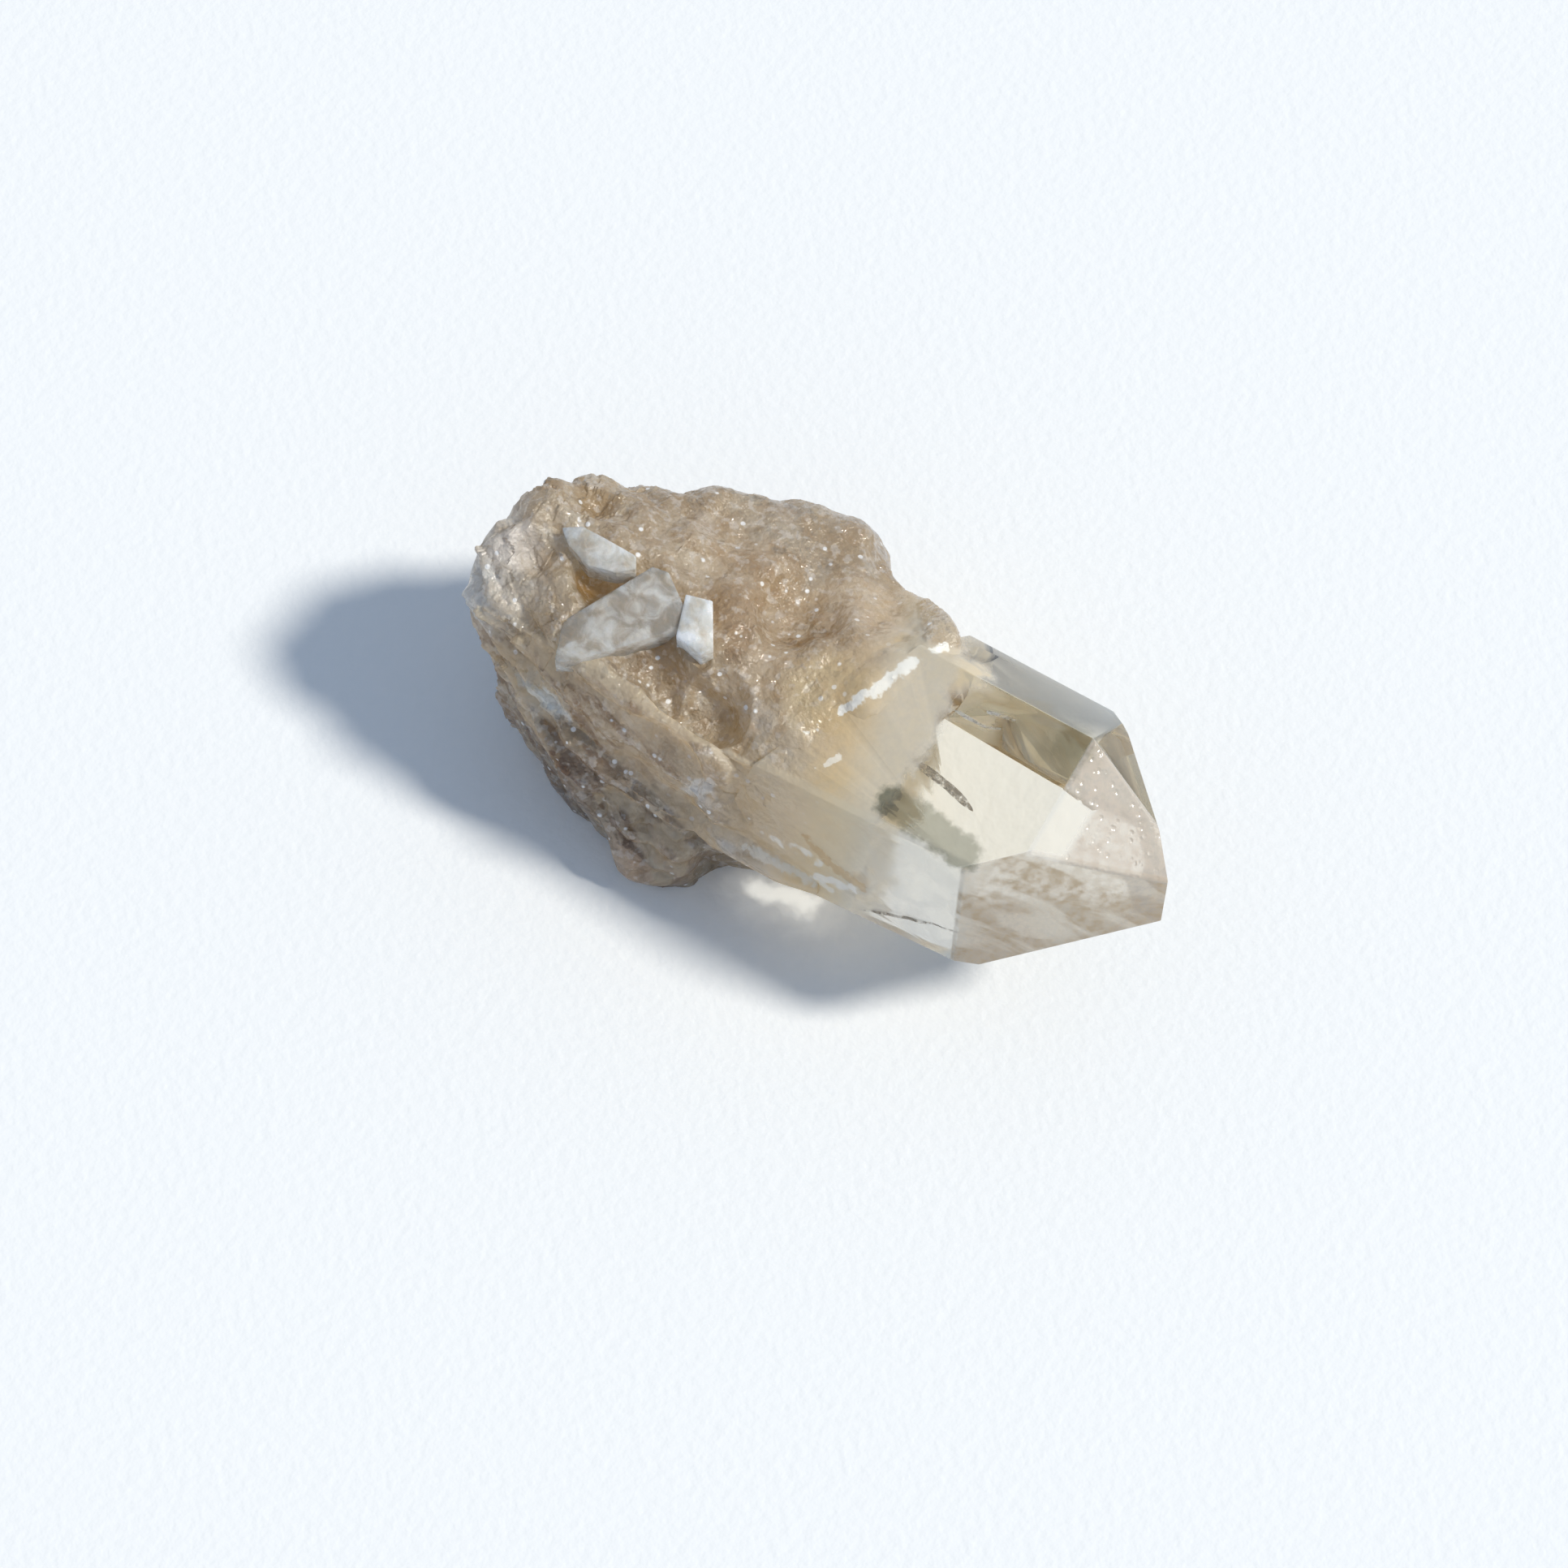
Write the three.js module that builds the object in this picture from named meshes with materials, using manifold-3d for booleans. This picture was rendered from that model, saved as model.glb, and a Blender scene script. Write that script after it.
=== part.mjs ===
// A citrine crystal point in millimetres, +Z up, lying as it rests on a table.
// One clear six-sided quartz prism with a bevelled tip points along +X and rises a little
// toward it. Behind it the crystal goes over into a lumpy, broken base with fluted flanks,
// a rounded foot and small tabular blades. All of it grew together and is one solid.
// The origin lies on the table under the middle of the object.
import * as THREE from 'three';
import { ConvexGeometry } from 'three/addons/geometries/ConvexGeometry.js';
import { mergeVertices } from 'three/addons/utils/BufferGeometryUtils.js';
import Module from 'manifold-3d';

const wasm = await Module();
wasm.setup();

// Crystal point. Its own frame has z along the crystal axis toward the tip and y out of the
// top face, and its zero is the corner where the top face meets the two upper tip faces.
const SHOULDER = [16.9, -2.55, 21.5];
const AXIS_RISE = 6.9; // degrees that the axis climbs toward the tip
const AXIS_ROLL = 15; // degrees that the top face leans toward the front
const ROOT = { normal: [0.42, 0.05, -0.9], reach: 15.4 }; // slanted end inside the base
const TIP_SLOPE = 51.8; // degrees between the axis and the normal of a tip face

// Side faces: bearing of the normal about the axis in degrees, distance from the shoulder,
// distance of the tip face that stands on each, and degrees that a face closes in to the tip.
const SIDES = [
  { name: 'back top', bearing: 30, reach: 7.06, tip: 5.4, taper: 0 },
  { name: 'top', bearing: 90, reach: 0, tip: 0, taper: 0 },
  { name: 'front top', bearing: 150, reach: 2.34, tip: 0, taper: 2 },
  { name: 'front under', bearing: 210, reach: 10.26, tip: 7.03, taper: 4 },
  { name: 'under', bearing: 270, reach: 14.2, tip: 11.6, taper: 0 },
  { name: 'back under', bearing: 330, reach: 11.9, tip: 8.66, taper: 0 },
];
// Small chips at the blunt end of the tip and at two corners of the shoulder, as the direction
// of each broken face and its distance from the shoulder corner.
const CHIPS = [
  { normal: [0.1, -0.62, 0.78], reach: 11.35 },
  { normal: [0.55, 0.55, 0.63], reach: 6.25 },
  { normal: [0.86, -0.12, 0.5], reach: 9.25 },
];

// Base. Lengthwise lines, each through points x, y, z from the left end to the junction.
// Seen from the left end they run once around the base, from its sole over the front.
const RAILS = {
  soleFront: [[-24.6, -3.0, 12.2], [-23.1, -3.2, 8.2], [-20.6, -4.2, 3.2], [-17, -5.8, -0.6], [-13, -7.0, -1],
    [-9, -8.4, -1], [-5, -7.4, -1], [-2.2, -4.4, -1], [2.4, -2.4, -0.4], [6, -1, 3]],
  toe: [[-24.6, -3.8, 12.5], [-23.2, -4.7, 10.0], [-20.6, -6.2, 6.8], [-17, -7.9, 4.2], [-13, -9.2, 2.8],
    [-9, -10.3, 1.2], [-5, -9.2, 0.8], [-3.0, -7.0, 1.5], [1.6, -3.6, 2.2], [6, -2.5, 4.4]],
  flank: [[-24.7, -4.2, 13.2], [-23.2, -5.1, 12.5], [-20.4, -6.9, 11.2], [-17, -8.4, 9.6], [-13, -9.6, 7.0],
    [-9, -10.6, 4.2], [-5, -9.4, 4.0], [-3.0, -7.8, 4.6], [1.4, -4.6, 5.2], [6, -4, 6.8]],
  flankTop: [[-24.7, -4.3, 14.4], [-23.3, -5.2, 14.3], [-20.4, -6.8, 14.0], [-17, -8.0, 13.2], [-13, -9.0, 11.6],
    [-9, -9.1, 10.4], [-5, -8.7, 9.8], [-2.2, -8.4, 9.6], [2.4, -7.2, 9.6], [6, -5.4, 9.6]],
  ledge: [[-24.7, -4.0, 15.6], [-23.3, -4.9, 16.4], [-20.4, -5.8, 17.0], [-17, -6.0, 17.5], [-13, -6.4, 17.6],
    [-9, -6.4, 17.6], [-5, -6.6, 17.3], [-2.0, -6.9, 16.8], [2.2, -5.6, 15.0], [6, -4.4, 13.4]],
  shelf: [[-24.7, -3.5, 16.6], [-23.4, -4.0, 17.8], [-20.4, -4.7, 18.3], [-17, -4.6, 18.4], [-13, -4.6, 18.2],
    [-9, -4.6, 17.8], [-5, -4.8, 17.8], [-1.6, -5.2, 18.4], [2, -4.0, 17.6], [6, -2.6, 16.2]],
  crownFront: [[-24.7, -2.6, 17.6], [-23.4, -2.0, 19.4], [-20.4, -2.0, 19.8], [-17, -1.8, 19.4], [-13, -1.8, 19.4],
    [-9, -1.8, 19.4], [-5, -2.0, 19.2], [-1.2, -1.8, 19.6], [2.0, -1.0, 19.6], [6, 0, 17.6]],
  crown: [[-24.7, -1.8, 18.0], [-23.2, 0.4, 20.0], [-20.4, 1.2, 20.6], [-17, 1.4, 20.4], [-13, 1.8, 20.0],
    [-9, 2.2, 19.6], [-5, 2.6, 19.0], [-1.0, 3.0, 20.4], [3.4, 3.6, 21.6], [7, 3, 18.6]],
  crownBack: [[-24.7, -1.2, 17.6], [-23.0, 2.0, 18.8], [-20.4, 4.0, 18.9], [-17, 5.2, 18.6], [-13, 6.2, 18.2],
    [-9, 7.6, 17.6], [-5, 8.0, 17.2], [-0.6, 7.4, 18.8], [4.4, 6.8, 21.2], [7, 6, 17.4]],
  shoulder: [[-24.6, -1.0, 16.4], [-22.8, 2.9, 17.0], [-20.4, 6.6, 16.6], [-17, 8.6, 16.0], [-13, 10.8, 15.6],
    [-9, 12.4, 15.2], [-5, 12.9, 14.4], [-1.2, 11.2, 14.6], [3.4, 9.4, 17.6], [7, 7.8, 14]],
  waist: [[-24.6, -1.3, 14.5], [-22.7, 3.0, 13.2], [-20.2, 7.2, 11.8], [-17, 9.4, 10.6], [-13, 11.7, 10.2],
    [-9, 13.6, 10.0], [-5, 14.0, 9.4], [-1.2, 12.0, 9.4], [3, 10.0, 10.4], [7, 7.6, 9.5]],
  soleBack: [[-24.6, -1.9, 12.8], [-22.9, 0.8, 8.6], [-20.4, 4.2, 3.4], [-17, 7.0, -0.4], [-13, 8.8, -0.6],
    [-9, 9.8, -0.8], [-5, 9.4, -0.8], [-1.4, 8.4, -0.6], [2.8, 6.6, 0.2], [6, 4.5, 4]],
};
const LOOP_STEPS = 72; // grid steps once around the base
const LENGTH_STEPS = 46; // and along it
const CHIP_SCALES = [ // broken facets: cells along, cells around, height in mm
  { along: 12, around: 15, height: 0.85 },
  { along: 23, around: 31, height: 0.4 },
];
const END_FADE = 0.08; // share of the length over which the relief fades in at the left end
// A smoother stretch on the back of the crown: its place, its spread and how much it calms.
const CALM = { along: 0.62, around: 0.7, spreadAlong: 0.2, spreadAround: 0.14, share: 0.55 };
// Rounded hollows and knobs in the base: place, radius and height, hollows below zero.
const KNOBS = [
  { at: [-16.4, -1.2, 19.8], radius: 1.5, height: -1.9 },
  { at: [-20.9, -1.9, 19.8], radius: 1.3, height: -1.3 },
  { at: [-20.0, 3.4, 19.6], radius: 1.5, height: -0.9 },
  { at: [-5.6, -4.7, 18.0], radius: 1.6, height: -0.8 },
  { at: [-4.8, 4.4, 18.6], radius: 2.8, height: -0.9 },
  { at: [-16.2, -8.2, 12.6], radius: 1.6, height: -0.7 },
  { at: [-22.8, 1.6, 20.3], radius: 1.2, height: 0.7 },
  { at: [-23.2, -2.4, 19.4], radius: 1.2, height: 0.6 },
  { at: [-21.2, 6.2, 17.8], radius: 1.6, height: 0.6 },
  { at: [-6.6, 12.6, 15.2], radius: 2.2, height: 0.6 },
  { at: [-7.6, -10.0, 3.2], radius: 2.6, height: 0.5 },
  { at: [-10.4, -9.8, 7.8], radius: 1.5, height: -0.7 },
  { at: [-7.2, -9.6, 7.4], radius: 1.6, height: -0.9 },
  { at: [-4.2, -8.8, 7.2], radius: 1.6, height: -0.9 },
  { at: [-7.6, -0.4, 19.6], radius: 1.6, height: 0.6 },
];
// Flutes that run along the front flank, between the two loop shares given.
const FLUTES = { from: 0.13, to: 0.35, count: 5, depth: 0.32 };
const FLOOR_DEPTH = 12; // how far the block that cuts the sole flat reaches down

// Tabular blades on the crown: the outline of each upper face, and the thickness.
const BLADES = [
  { thickness: 1.8, outline: [[-15.9, -6.9, 18.6], [-14.6, -6.3, 19.0], [-10.1, -1.6, 20.6],
    [-9.8, -0.6, 20.9], [-12.5, 1.1, 21.5], [-13.6, 0.9, 21.4], [-15.3, -2.5, 20.4], [-16.8, -4.6, 19.3]] },
  { thickness: 1.8, outline: [[-20.1, 0.2, 20.9], [-18.9, 0.8, 21.4], [-17.2, 0.9, 21.4],
    [-14.9, 1.0, 21.3], [-14.5, 0.3, 21.0], [-15.5, -0.5, 20.8], [-17.3, -1.0, 20.6], [-19.1, -0.5, 20.7]] },
  { thickness: 2.4, outline: [[-10.8, 0.5, 21.3], [-9.0, 0.9, 21.7], [-7.3, -1.6, 21.2],
    [-7.8, -2.3, 20.8], [-9.8, -2.1, 20.8]] },
];
// A low white rim that follows the lower front edge of the prism at the junction.
const RIM = { thickness: 1.0, outline: [[-4.6, -8.2, 9.9], [-1.6, -8.9, 10.2], [2.2, -8.8, 10.5], [5, -8.2, 10.8],
  [4.4, -7.0, 11.8], [0.2, -7.0, 12.0], [-3.8, -7.0, 11.6]] };

const SIDE_OFFSET = 1.5; // from the crystal's middle line to the middle of the whole object, along Y

const DEG = Math.PI / 180;

// A closed geometry as a solid that can be joined and cut.
function toSolid(geometry) {
  const bare = geometry.clone();
  bare.deleteAttribute('normal');
  bare.deleteAttribute('uv');
  const merged = mergeVertices(bare, 1e-5);
  return new wasm.Manifold(new wasm.Mesh({
    numProp: 3,
    vertProperties: new Float32Array(merged.attributes.position.array),
    triVerts: new Uint32Array(merged.index.array),
  }));
}

// A solid as a geometry for a mesh.
function toGeometry(solid) {
  const mesh = solid.getMesh();
  const geometry = new THREE.BufferGeometry();
  geometry.setAttribute('position', new THREE.BufferAttribute(mesh.vertProperties, 3));
  geometry.setIndex(new THREE.BufferAttribute(mesh.triVerts, 1));
  geometry.computeVertexNormals();
  return geometry;
}

// Corners of the body that lies inside all the planes: every point where three planes meet
// and that no plane cuts off.
function cornersInside(planes) {
  const corners = [];
  for (let i = 0; i < planes.length; i++) {
    for (let j = i + 1; j < planes.length; j++) {
      for (let k = j + 1; k < planes.length; k++) {
        const point = meetingPoint(planes[i], planes[j], planes[k]);
        if (!point || planes.some((p) => p.normal.dot(point) > p.reach + 1e-6)) continue;
        if (corners.every((c) => c.distanceTo(point) > 1e-4)) corners.push(point);
      }
    }
  }
  return corners;
}

// The point where three planes meet, or null where they have none.
function meetingPoint(a, b, c) {
  const across = new THREE.Vector3().crossVectors(b.normal, c.normal);
  const volume = a.normal.dot(across);
  if (Math.abs(volume) < 1e-6) return null;
  return across.multiplyScalar(a.reach)
    .addScaledVector(new THREE.Vector3().crossVectors(c.normal, a.normal), b.reach)
    .addScaledVector(new THREE.Vector3().crossVectors(a.normal, b.normal), c.reach)
    .divideScalar(volume);
}

// Unit normal at a bearing about the axis, leaning the given degrees toward the tip.
function faceNormal(bearing, lean) {
  const out = Math.cos(lean * DEG);
  return new THREE.Vector3(
    Math.cos(bearing * DEG) * out, Math.sin(bearing * DEG) * out, Math.sin(lean * DEG));
}

// The clear crystal: six side faces, six tip faces, a root and the small chips.
function crystalPoint() {
  const broken = [ROOT, ...CHIPS].map(
    ({ normal, reach }) => ({ normal: new THREE.Vector3(...normal).normalize(), reach }));
  const planes = [...broken];
  for (const side of SIDES) {
    planes.push({ normal: faceNormal(side.bearing, side.taper), reach: side.reach });
    planes.push({ normal: faceNormal(side.bearing, 90 - TIP_SLOPE), reach: side.tip });
  }
  const axis = new THREE.Vector3(Math.cos(AXIS_RISE * DEG), 0, Math.sin(AXIS_RISE * DEG));
  const level = new THREE.Vector3(0, 1, 0);
  const up = new THREE.Vector3().crossVectors(axis, level);
  const sideways = level.applyAxisAngle(axis, AXIS_ROLL * DEG);
  up.applyAxisAngle(axis, AXIS_ROLL * DEG);
  const place = new THREE.Matrix4().makeBasis(sideways, up, axis).setPosition(...SHOULDER);
  return new ConvexGeometry(cornersInside(planes)).applyMatrix4(place);
}

// A repeatable value between -1 and 1 for a whole-numbered place in a pattern.
function scatter(i, j, seed) {
  const wave = Math.sin(i * 12.9898 + j * 78.233 + seed * 37.719) * 43758.5453;
  return 2 * (wave - Math.floor(wave)) - 1;
}

// Flat facets with sharp edges: values at the corners of a lattice, straight between them
// over the two triangles of each cell. The pattern closes around the loop.
function facets(along, around, cells, seed) {
  const u = along * cells.along;
  const v = around * cells.around;
  const i = Math.floor(u);
  const j = Math.floor(v);
  const [fu, fv] = [u - i, v - j];
  const corner = (di, dj) => scatter(i + di, (j + dj) % cells.around, seed);
  const rest = fu + fv < 1
    ? corner(0, 0) * (1 - fu - fv) + corner(1, 0) * fu + corner(0, 1) * fv
    : corner(1, 1) * (fu + fv - 1) + corner(0, 1) * (1 - fu) + corner(1, 0) * (1 - fv);
  return rest * cells.height;
}

// Height of the relief over the smooth base at a place on it.
function relief(point, along, around) {
  const calm = Math.exp(-(((along - CALM.along) / CALM.spreadAlong) ** 2)
    - ((around - CALM.around) / CALM.spreadAround) ** 2);
  const strength = Math.min(1, along / END_FADE) * (1 - CALM.share * calm);
  let height = 0;
  CHIP_SCALES.forEach((cells, seed) => { height += strength * facets(along, around, cells, seed + 1); });
  for (const knob of KNOBS) {
    const distance = point.distanceTo(new THREE.Vector3(...knob.at)) / knob.radius;
    height += knob.height * Math.exp(-distance * distance);
  }
  const across = (around - FLUTES.from) / (FLUTES.to - FLUTES.from);
  if (across > 0 && across < 1) {
    const wave = Math.sin((across * FLUTES.count + along) * 2 * Math.PI);
    height += strength * FLUTES.depth * wave * Math.sin(across * Math.PI);
  }
  return height;
}

// The rough base: loops around the rails, raised by the relief and closed at both ends.
function roughBase() {
  const rails = Object.values(RAILS).map(
    (points) => new THREE.CatmullRomCurve3(points.map((p) => new THREE.Vector3(...p)), false, 'catmullrom'));
  const smooth = [];
  for (let i = 0; i <= LENGTH_STEPS; i++) {
    const loop = new THREE.CatmullRomCurve3(
      rails.map((rail) => rail.getPoint(i / LENGTH_STEPS)), true, 'catmullrom');
    smooth.push(Array.from({ length: LOOP_STEPS }, (_, j) => loop.getPoint(j / LOOP_STEPS)));
  }
  const points = [];
  for (let i = 0; i <= LENGTH_STEPS; i++) {
    for (let j = 0; j < LOOP_STEPS; j++) {
      const height = relief(smooth[i][j], i / LENGTH_STEPS, j / LOOP_STEPS);
      points.push(smooth[i][j].clone().addScaledVector(outward(smooth, i, j), height));
    }
  }
  return closedTube(points);
}

// Unit normal of the smooth base at a grid place, from the neighbours on each side.
function outward(grid, i, j) {
  const next = (n) => (n + LOOP_STEPS) % LOOP_STEPS;
  const lengthwise = grid[Math.min(i + 1, LENGTH_STEPS)][j].clone()
    .sub(grid[Math.max(i - 1, 0)][j]);
  const crosswise = grid[i][next(j + 1)].clone().sub(grid[i][next(j - 1)]);
  return crosswise.cross(lengthwise).normalize().negate();
}

// Triangles over a grid of loops, with a centre point that closes each end.
function closedTube(points) {
  const last = LENGTH_STEPS * LOOP_STEPS;
  const centre = (start) => {
    const sum = new THREE.Vector3();
    for (let j = 0; j < LOOP_STEPS; j++) sum.add(points[start + j]);
    return sum.divideScalar(LOOP_STEPS);
  };
  const ends = [centre(0), centre(last)];
  const index = [];
  for (let j = 0; j < LOOP_STEPS; j++) {
    const k = (j + 1) % LOOP_STEPS;
    for (let row = 0; row < last; row += LOOP_STEPS) {
      index.push(row + j, row + LOOP_STEPS + j, row + k);
      index.push(row + k, row + LOOP_STEPS + j, row + LOOP_STEPS + k);
    }
    index.push(points.length, j, k, points.length + 1, last + k, last + j);
  }
  const geometry = new THREE.BufferGeometry().setFromPoints([...points, ...ends]);
  geometry.setIndex(index);
  return geometry;
}

// A thin plate: its upper outline and the same outline lower down, as one convex body.
function plate({ outline, thickness }) {
  const upper = outline.map((p) => new THREE.Vector3(...p));
  const lower = upper.map((p) => p.clone().add(new THREE.Vector3(0, 0, -thickness)));
  return new ConvexGeometry([...upper, ...lower]);
}

// The block below the table plane, which cuts the sole flat.
function floorBlock() {
  const block = new THREE.BoxGeometry(80, 60, FLOOR_DEPTH);
  return block.translate(0, 0, -FLOOR_DEPTH / 2);
}

let solid = toSolid(roughBase()).add(toSolid(crystalPoint())).add(toSolid(plate(RIM)));
for (const blade of BLADES) solid = solid.add(toSolid(plate(blade)));
solid = solid.subtract(toSolid(floorBlock()));

const citrine = new THREE.Mesh(
  toGeometry(solid),
  new THREE.MeshStandardMaterial({ color: '#cbb189', roughness: 0.12, metalness: 0 }));
citrine.name = 'crystal';
citrine.position.y = -SIDE_OFFSET;

const group = new THREE.Group();
group.add(citrine);
export default group;
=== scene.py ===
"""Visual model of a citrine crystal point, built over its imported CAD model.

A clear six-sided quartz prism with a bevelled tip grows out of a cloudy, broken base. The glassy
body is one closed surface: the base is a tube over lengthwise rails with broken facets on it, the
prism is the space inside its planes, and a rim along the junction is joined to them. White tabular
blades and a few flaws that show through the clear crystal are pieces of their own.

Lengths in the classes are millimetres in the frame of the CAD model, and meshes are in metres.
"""

import logging
import math
from collections.abc import Iterator
from dataclasses import dataclass, field
from enum import Enum
from itertools import combinations, product

import bmesh
import bpy
import numpy as np
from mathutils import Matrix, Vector


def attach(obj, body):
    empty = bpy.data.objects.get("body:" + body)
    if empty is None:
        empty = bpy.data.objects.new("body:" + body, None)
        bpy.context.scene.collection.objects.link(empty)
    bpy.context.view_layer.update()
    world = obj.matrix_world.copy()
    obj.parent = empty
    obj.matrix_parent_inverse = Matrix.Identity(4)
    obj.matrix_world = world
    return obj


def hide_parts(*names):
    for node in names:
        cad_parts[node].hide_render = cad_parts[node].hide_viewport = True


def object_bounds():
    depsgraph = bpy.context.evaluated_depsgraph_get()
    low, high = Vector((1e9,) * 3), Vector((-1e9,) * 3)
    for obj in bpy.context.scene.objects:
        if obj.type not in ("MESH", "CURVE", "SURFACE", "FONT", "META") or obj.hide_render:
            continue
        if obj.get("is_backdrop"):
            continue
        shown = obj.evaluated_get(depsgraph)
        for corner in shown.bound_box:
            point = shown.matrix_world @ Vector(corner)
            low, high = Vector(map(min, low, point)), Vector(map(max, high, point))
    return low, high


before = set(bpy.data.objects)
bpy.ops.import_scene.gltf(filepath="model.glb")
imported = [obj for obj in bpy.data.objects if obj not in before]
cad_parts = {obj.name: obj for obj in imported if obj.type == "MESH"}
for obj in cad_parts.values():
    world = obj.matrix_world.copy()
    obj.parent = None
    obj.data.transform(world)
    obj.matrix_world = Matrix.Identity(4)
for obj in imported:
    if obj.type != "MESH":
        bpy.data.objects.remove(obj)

MM = 0.001
BODY = "root"
NODE = "crystal"
IMAGE_SIDE = 1932
PLAIN = (0.0, 1.0)
Socket = bpy.types.NodeSocket
Piece = bpy.types.Object
log = logging.getLogger("citrine")


class Cut(Enum):
    """How one closed body is combined with another."""

    JOIN = "UNION"
    TAKE = "DIFFERENCE"
    KEEP = "INTERSECT"


def catmull_rom(points: np.ndarray, places: np.ndarray, closed: bool) -> np.ndarray:
    """Points on Catmull-Rom curves through given points.

    Between neighbours p1 and p2 the curve is the cubic through both whose slopes there are half
    of p2 - p0 and half of p3 - p1.

    Args:
        points: Points of the curves, shaped (..., n, 3).
        places: Shares of the curve from 0 to 1, shaped (m,).
        closed: Whether each curve runs back to its first point.

    Returns:
        The curve points, shaped (..., m, 3).
    """
    first, last = points[..., :1, :], points[..., -1:, :]
    if closed:
        ends = [last, points, points[..., :2, :]]
        spans = points.shape[-2]
    else:
        ends = [2 * first - points[..., 1:2, :], points, 2 * last - points[..., -2:-1, :]]
        spans = points.shape[-2] - 1
    padded = np.concatenate(ends, axis=-2)
    run = places * spans
    start = np.minimum(run.astype(int), spans - 1)
    w = (run - start)[:, None]
    p0, p1, p2, p3 = (padded[..., start + k, :] for k in range(4))
    t1, t2 = 0.5 * (p2 - p0), 0.5 * (p3 - p1)
    return p1 + t1 * w + (3 * (p2 - p1) - 2 * t1 - t2) * w**2 + (2 * (p1 - p2) + t1 + t2) * w**3


def scatter(i: np.ndarray, j: np.ndarray, seed: float) -> np.ndarray:
    """Repeatable values between -1 and 1 for whole-numbered places: the broken part of a steep
    sine.

    Args:
        i: First number of each place.
        j: Second number of each place.
        seed: Picks the pattern.

    Returns:
        A value for each place.
    """
    wave = np.sin(i * 12.9898 + j * 78.233 + seed * 37.719) * 43758.5453
    return 2 * (wave - np.floor(wave)) - 1


def facets(along: np.ndarray, around: np.ndarray, cells: "Facets", seed: int) -> np.ndarray:
    """Flat facets with sharp edges: values at lattice corners, straight between them over the
    two triangles of each cell. The pattern closes around the loop.

    Args:
        along: Share of the length at each place.
        around: Share of the loop at each place.
        cells: Number of cells and height.
        seed: Picks the pattern.

    Returns:
        The height at each place, in millimetres.
    """
    u, v = along * cells.along, around * cells.around
    i, j = np.floor(u), np.floor(v)
    fu, fv = u - i, v - j

    def corner(di: int, dj: int) -> np.ndarray:
        """The value at one corner of each cell."""
        return scatter(i + di, (j + dj) % cells.around, seed)

    near = corner(0, 0) * (1 - fu - fv) + corner(1, 0) * fu + corner(0, 1) * fv
    far = corner(1, 1) * (fu + fv - 1) + corner(0, 1) * (1 - fu) + corner(1, 0) * (1 - fv)
    return np.where(fu + fv < 1, near, far) * cells.height


def cell_points(cells: np.ndarray, seed: float) -> np.ndarray:
    """Three repeatable values between -1 and 1 for each cell of a cubic lattice.

    Args:
        cells: Whole-numbered cells, shaped (..., 3).
        seed: Picks the pattern.

    Returns:
        An array shaped (..., 3).
    """
    i = cells[..., 0] + 57.0 * cells[..., 2]
    return np.stack([scatter(i, cells[..., 1], seed + k) for k in range(3)], axis=-1)


def broken_plates(points: np.ndarray, size: float, seed: float) -> np.ndarray:
    """Small flat breaks with steps between them.

    Each point belongs to the nearest of the scattered seeds, and its height is that seed's own
    level plus the distance from the seed along the seed's own tilt.

    Args:
        points: Places, shaped (..., 3), in millimetres.
        size: Usual width of a break, in millimetres.
        seed: Picks the pattern.

    Returns:
        Height in shares of the usual width, about -1 to 1.
    """
    scaled = points / size
    cells = np.floor(scaled)
    nearest = np.full(points.shape[:-1], np.inf)
    height = np.zeros(points.shape[:-1])
    for step in product((-1, 0, 1), repeat=3):
        own = cells + np.array(step)
        away = scaled - (own + 0.5 + 0.45 * cell_points(own, seed))
        distance = np.linalg.norm(away, axis=-1)
        nature = cell_points(own, seed + 5)
        level = 0.35 * nature[..., 0] + np.sum(away * np.roll(nature, 1, axis=-1), axis=-1)
        closer = distance < nearest
        nearest = np.where(closer, distance, nearest)
        height = np.where(closer, level, height)
    return height


def billows(points: np.ndarray, size: float, seed: float) -> np.ndarray:
    """Smooth bumps: values at the corners of a cubic lattice, blended smoothly between them.

    Args:
        points: Places, shaped (..., 3), in millimetres.
        size: Distance between the lattice corners, in millimetres.
        seed: Picks the pattern.

    Returns:
        Values from about -1 to 1.
    """
    scaled = points / size
    cells = np.floor(scaled)
    part = scaled - cells
    part = part * part * (3 - 2 * part)
    total = np.zeros(points.shape[:-1])
    for step in product((0, 1), repeat=3):
        weight = np.prod(np.where(np.array(step) == 1, part, 1 - part), axis=-1)
        total += weight * cell_points(cells + np.array(step), seed)[..., 0]
    return total


def smoothstep(low: float, high: float, value: np.ndarray) -> np.ndarray:
    """0 below low, 1 above high, and a smooth rise between them."""
    share = np.clip((value - low) / (high - low), 0, 1)
    return share * share * (3 - 2 * share)


def new_object(name: str, points: np.ndarray, faces: list[list[int]]) -> Piece:
    """Puts a mesh into the scene.

    Args:
        name: Name of the object and its mesh.
        points: Vertices in millimetres, shaped (n, 3).
        faces: Vertex numbers of each face.

    Returns:
        The new object, at the origin.
    """
    mesh = bpy.data.meshes.new(name)
    mesh.from_pydata((points * MM).tolist(), [], faces)
    mesh.validate()
    made = bpy.data.objects.new(name, mesh)
    bpy.context.scene.collection.objects.link(made)
    return made


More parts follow.
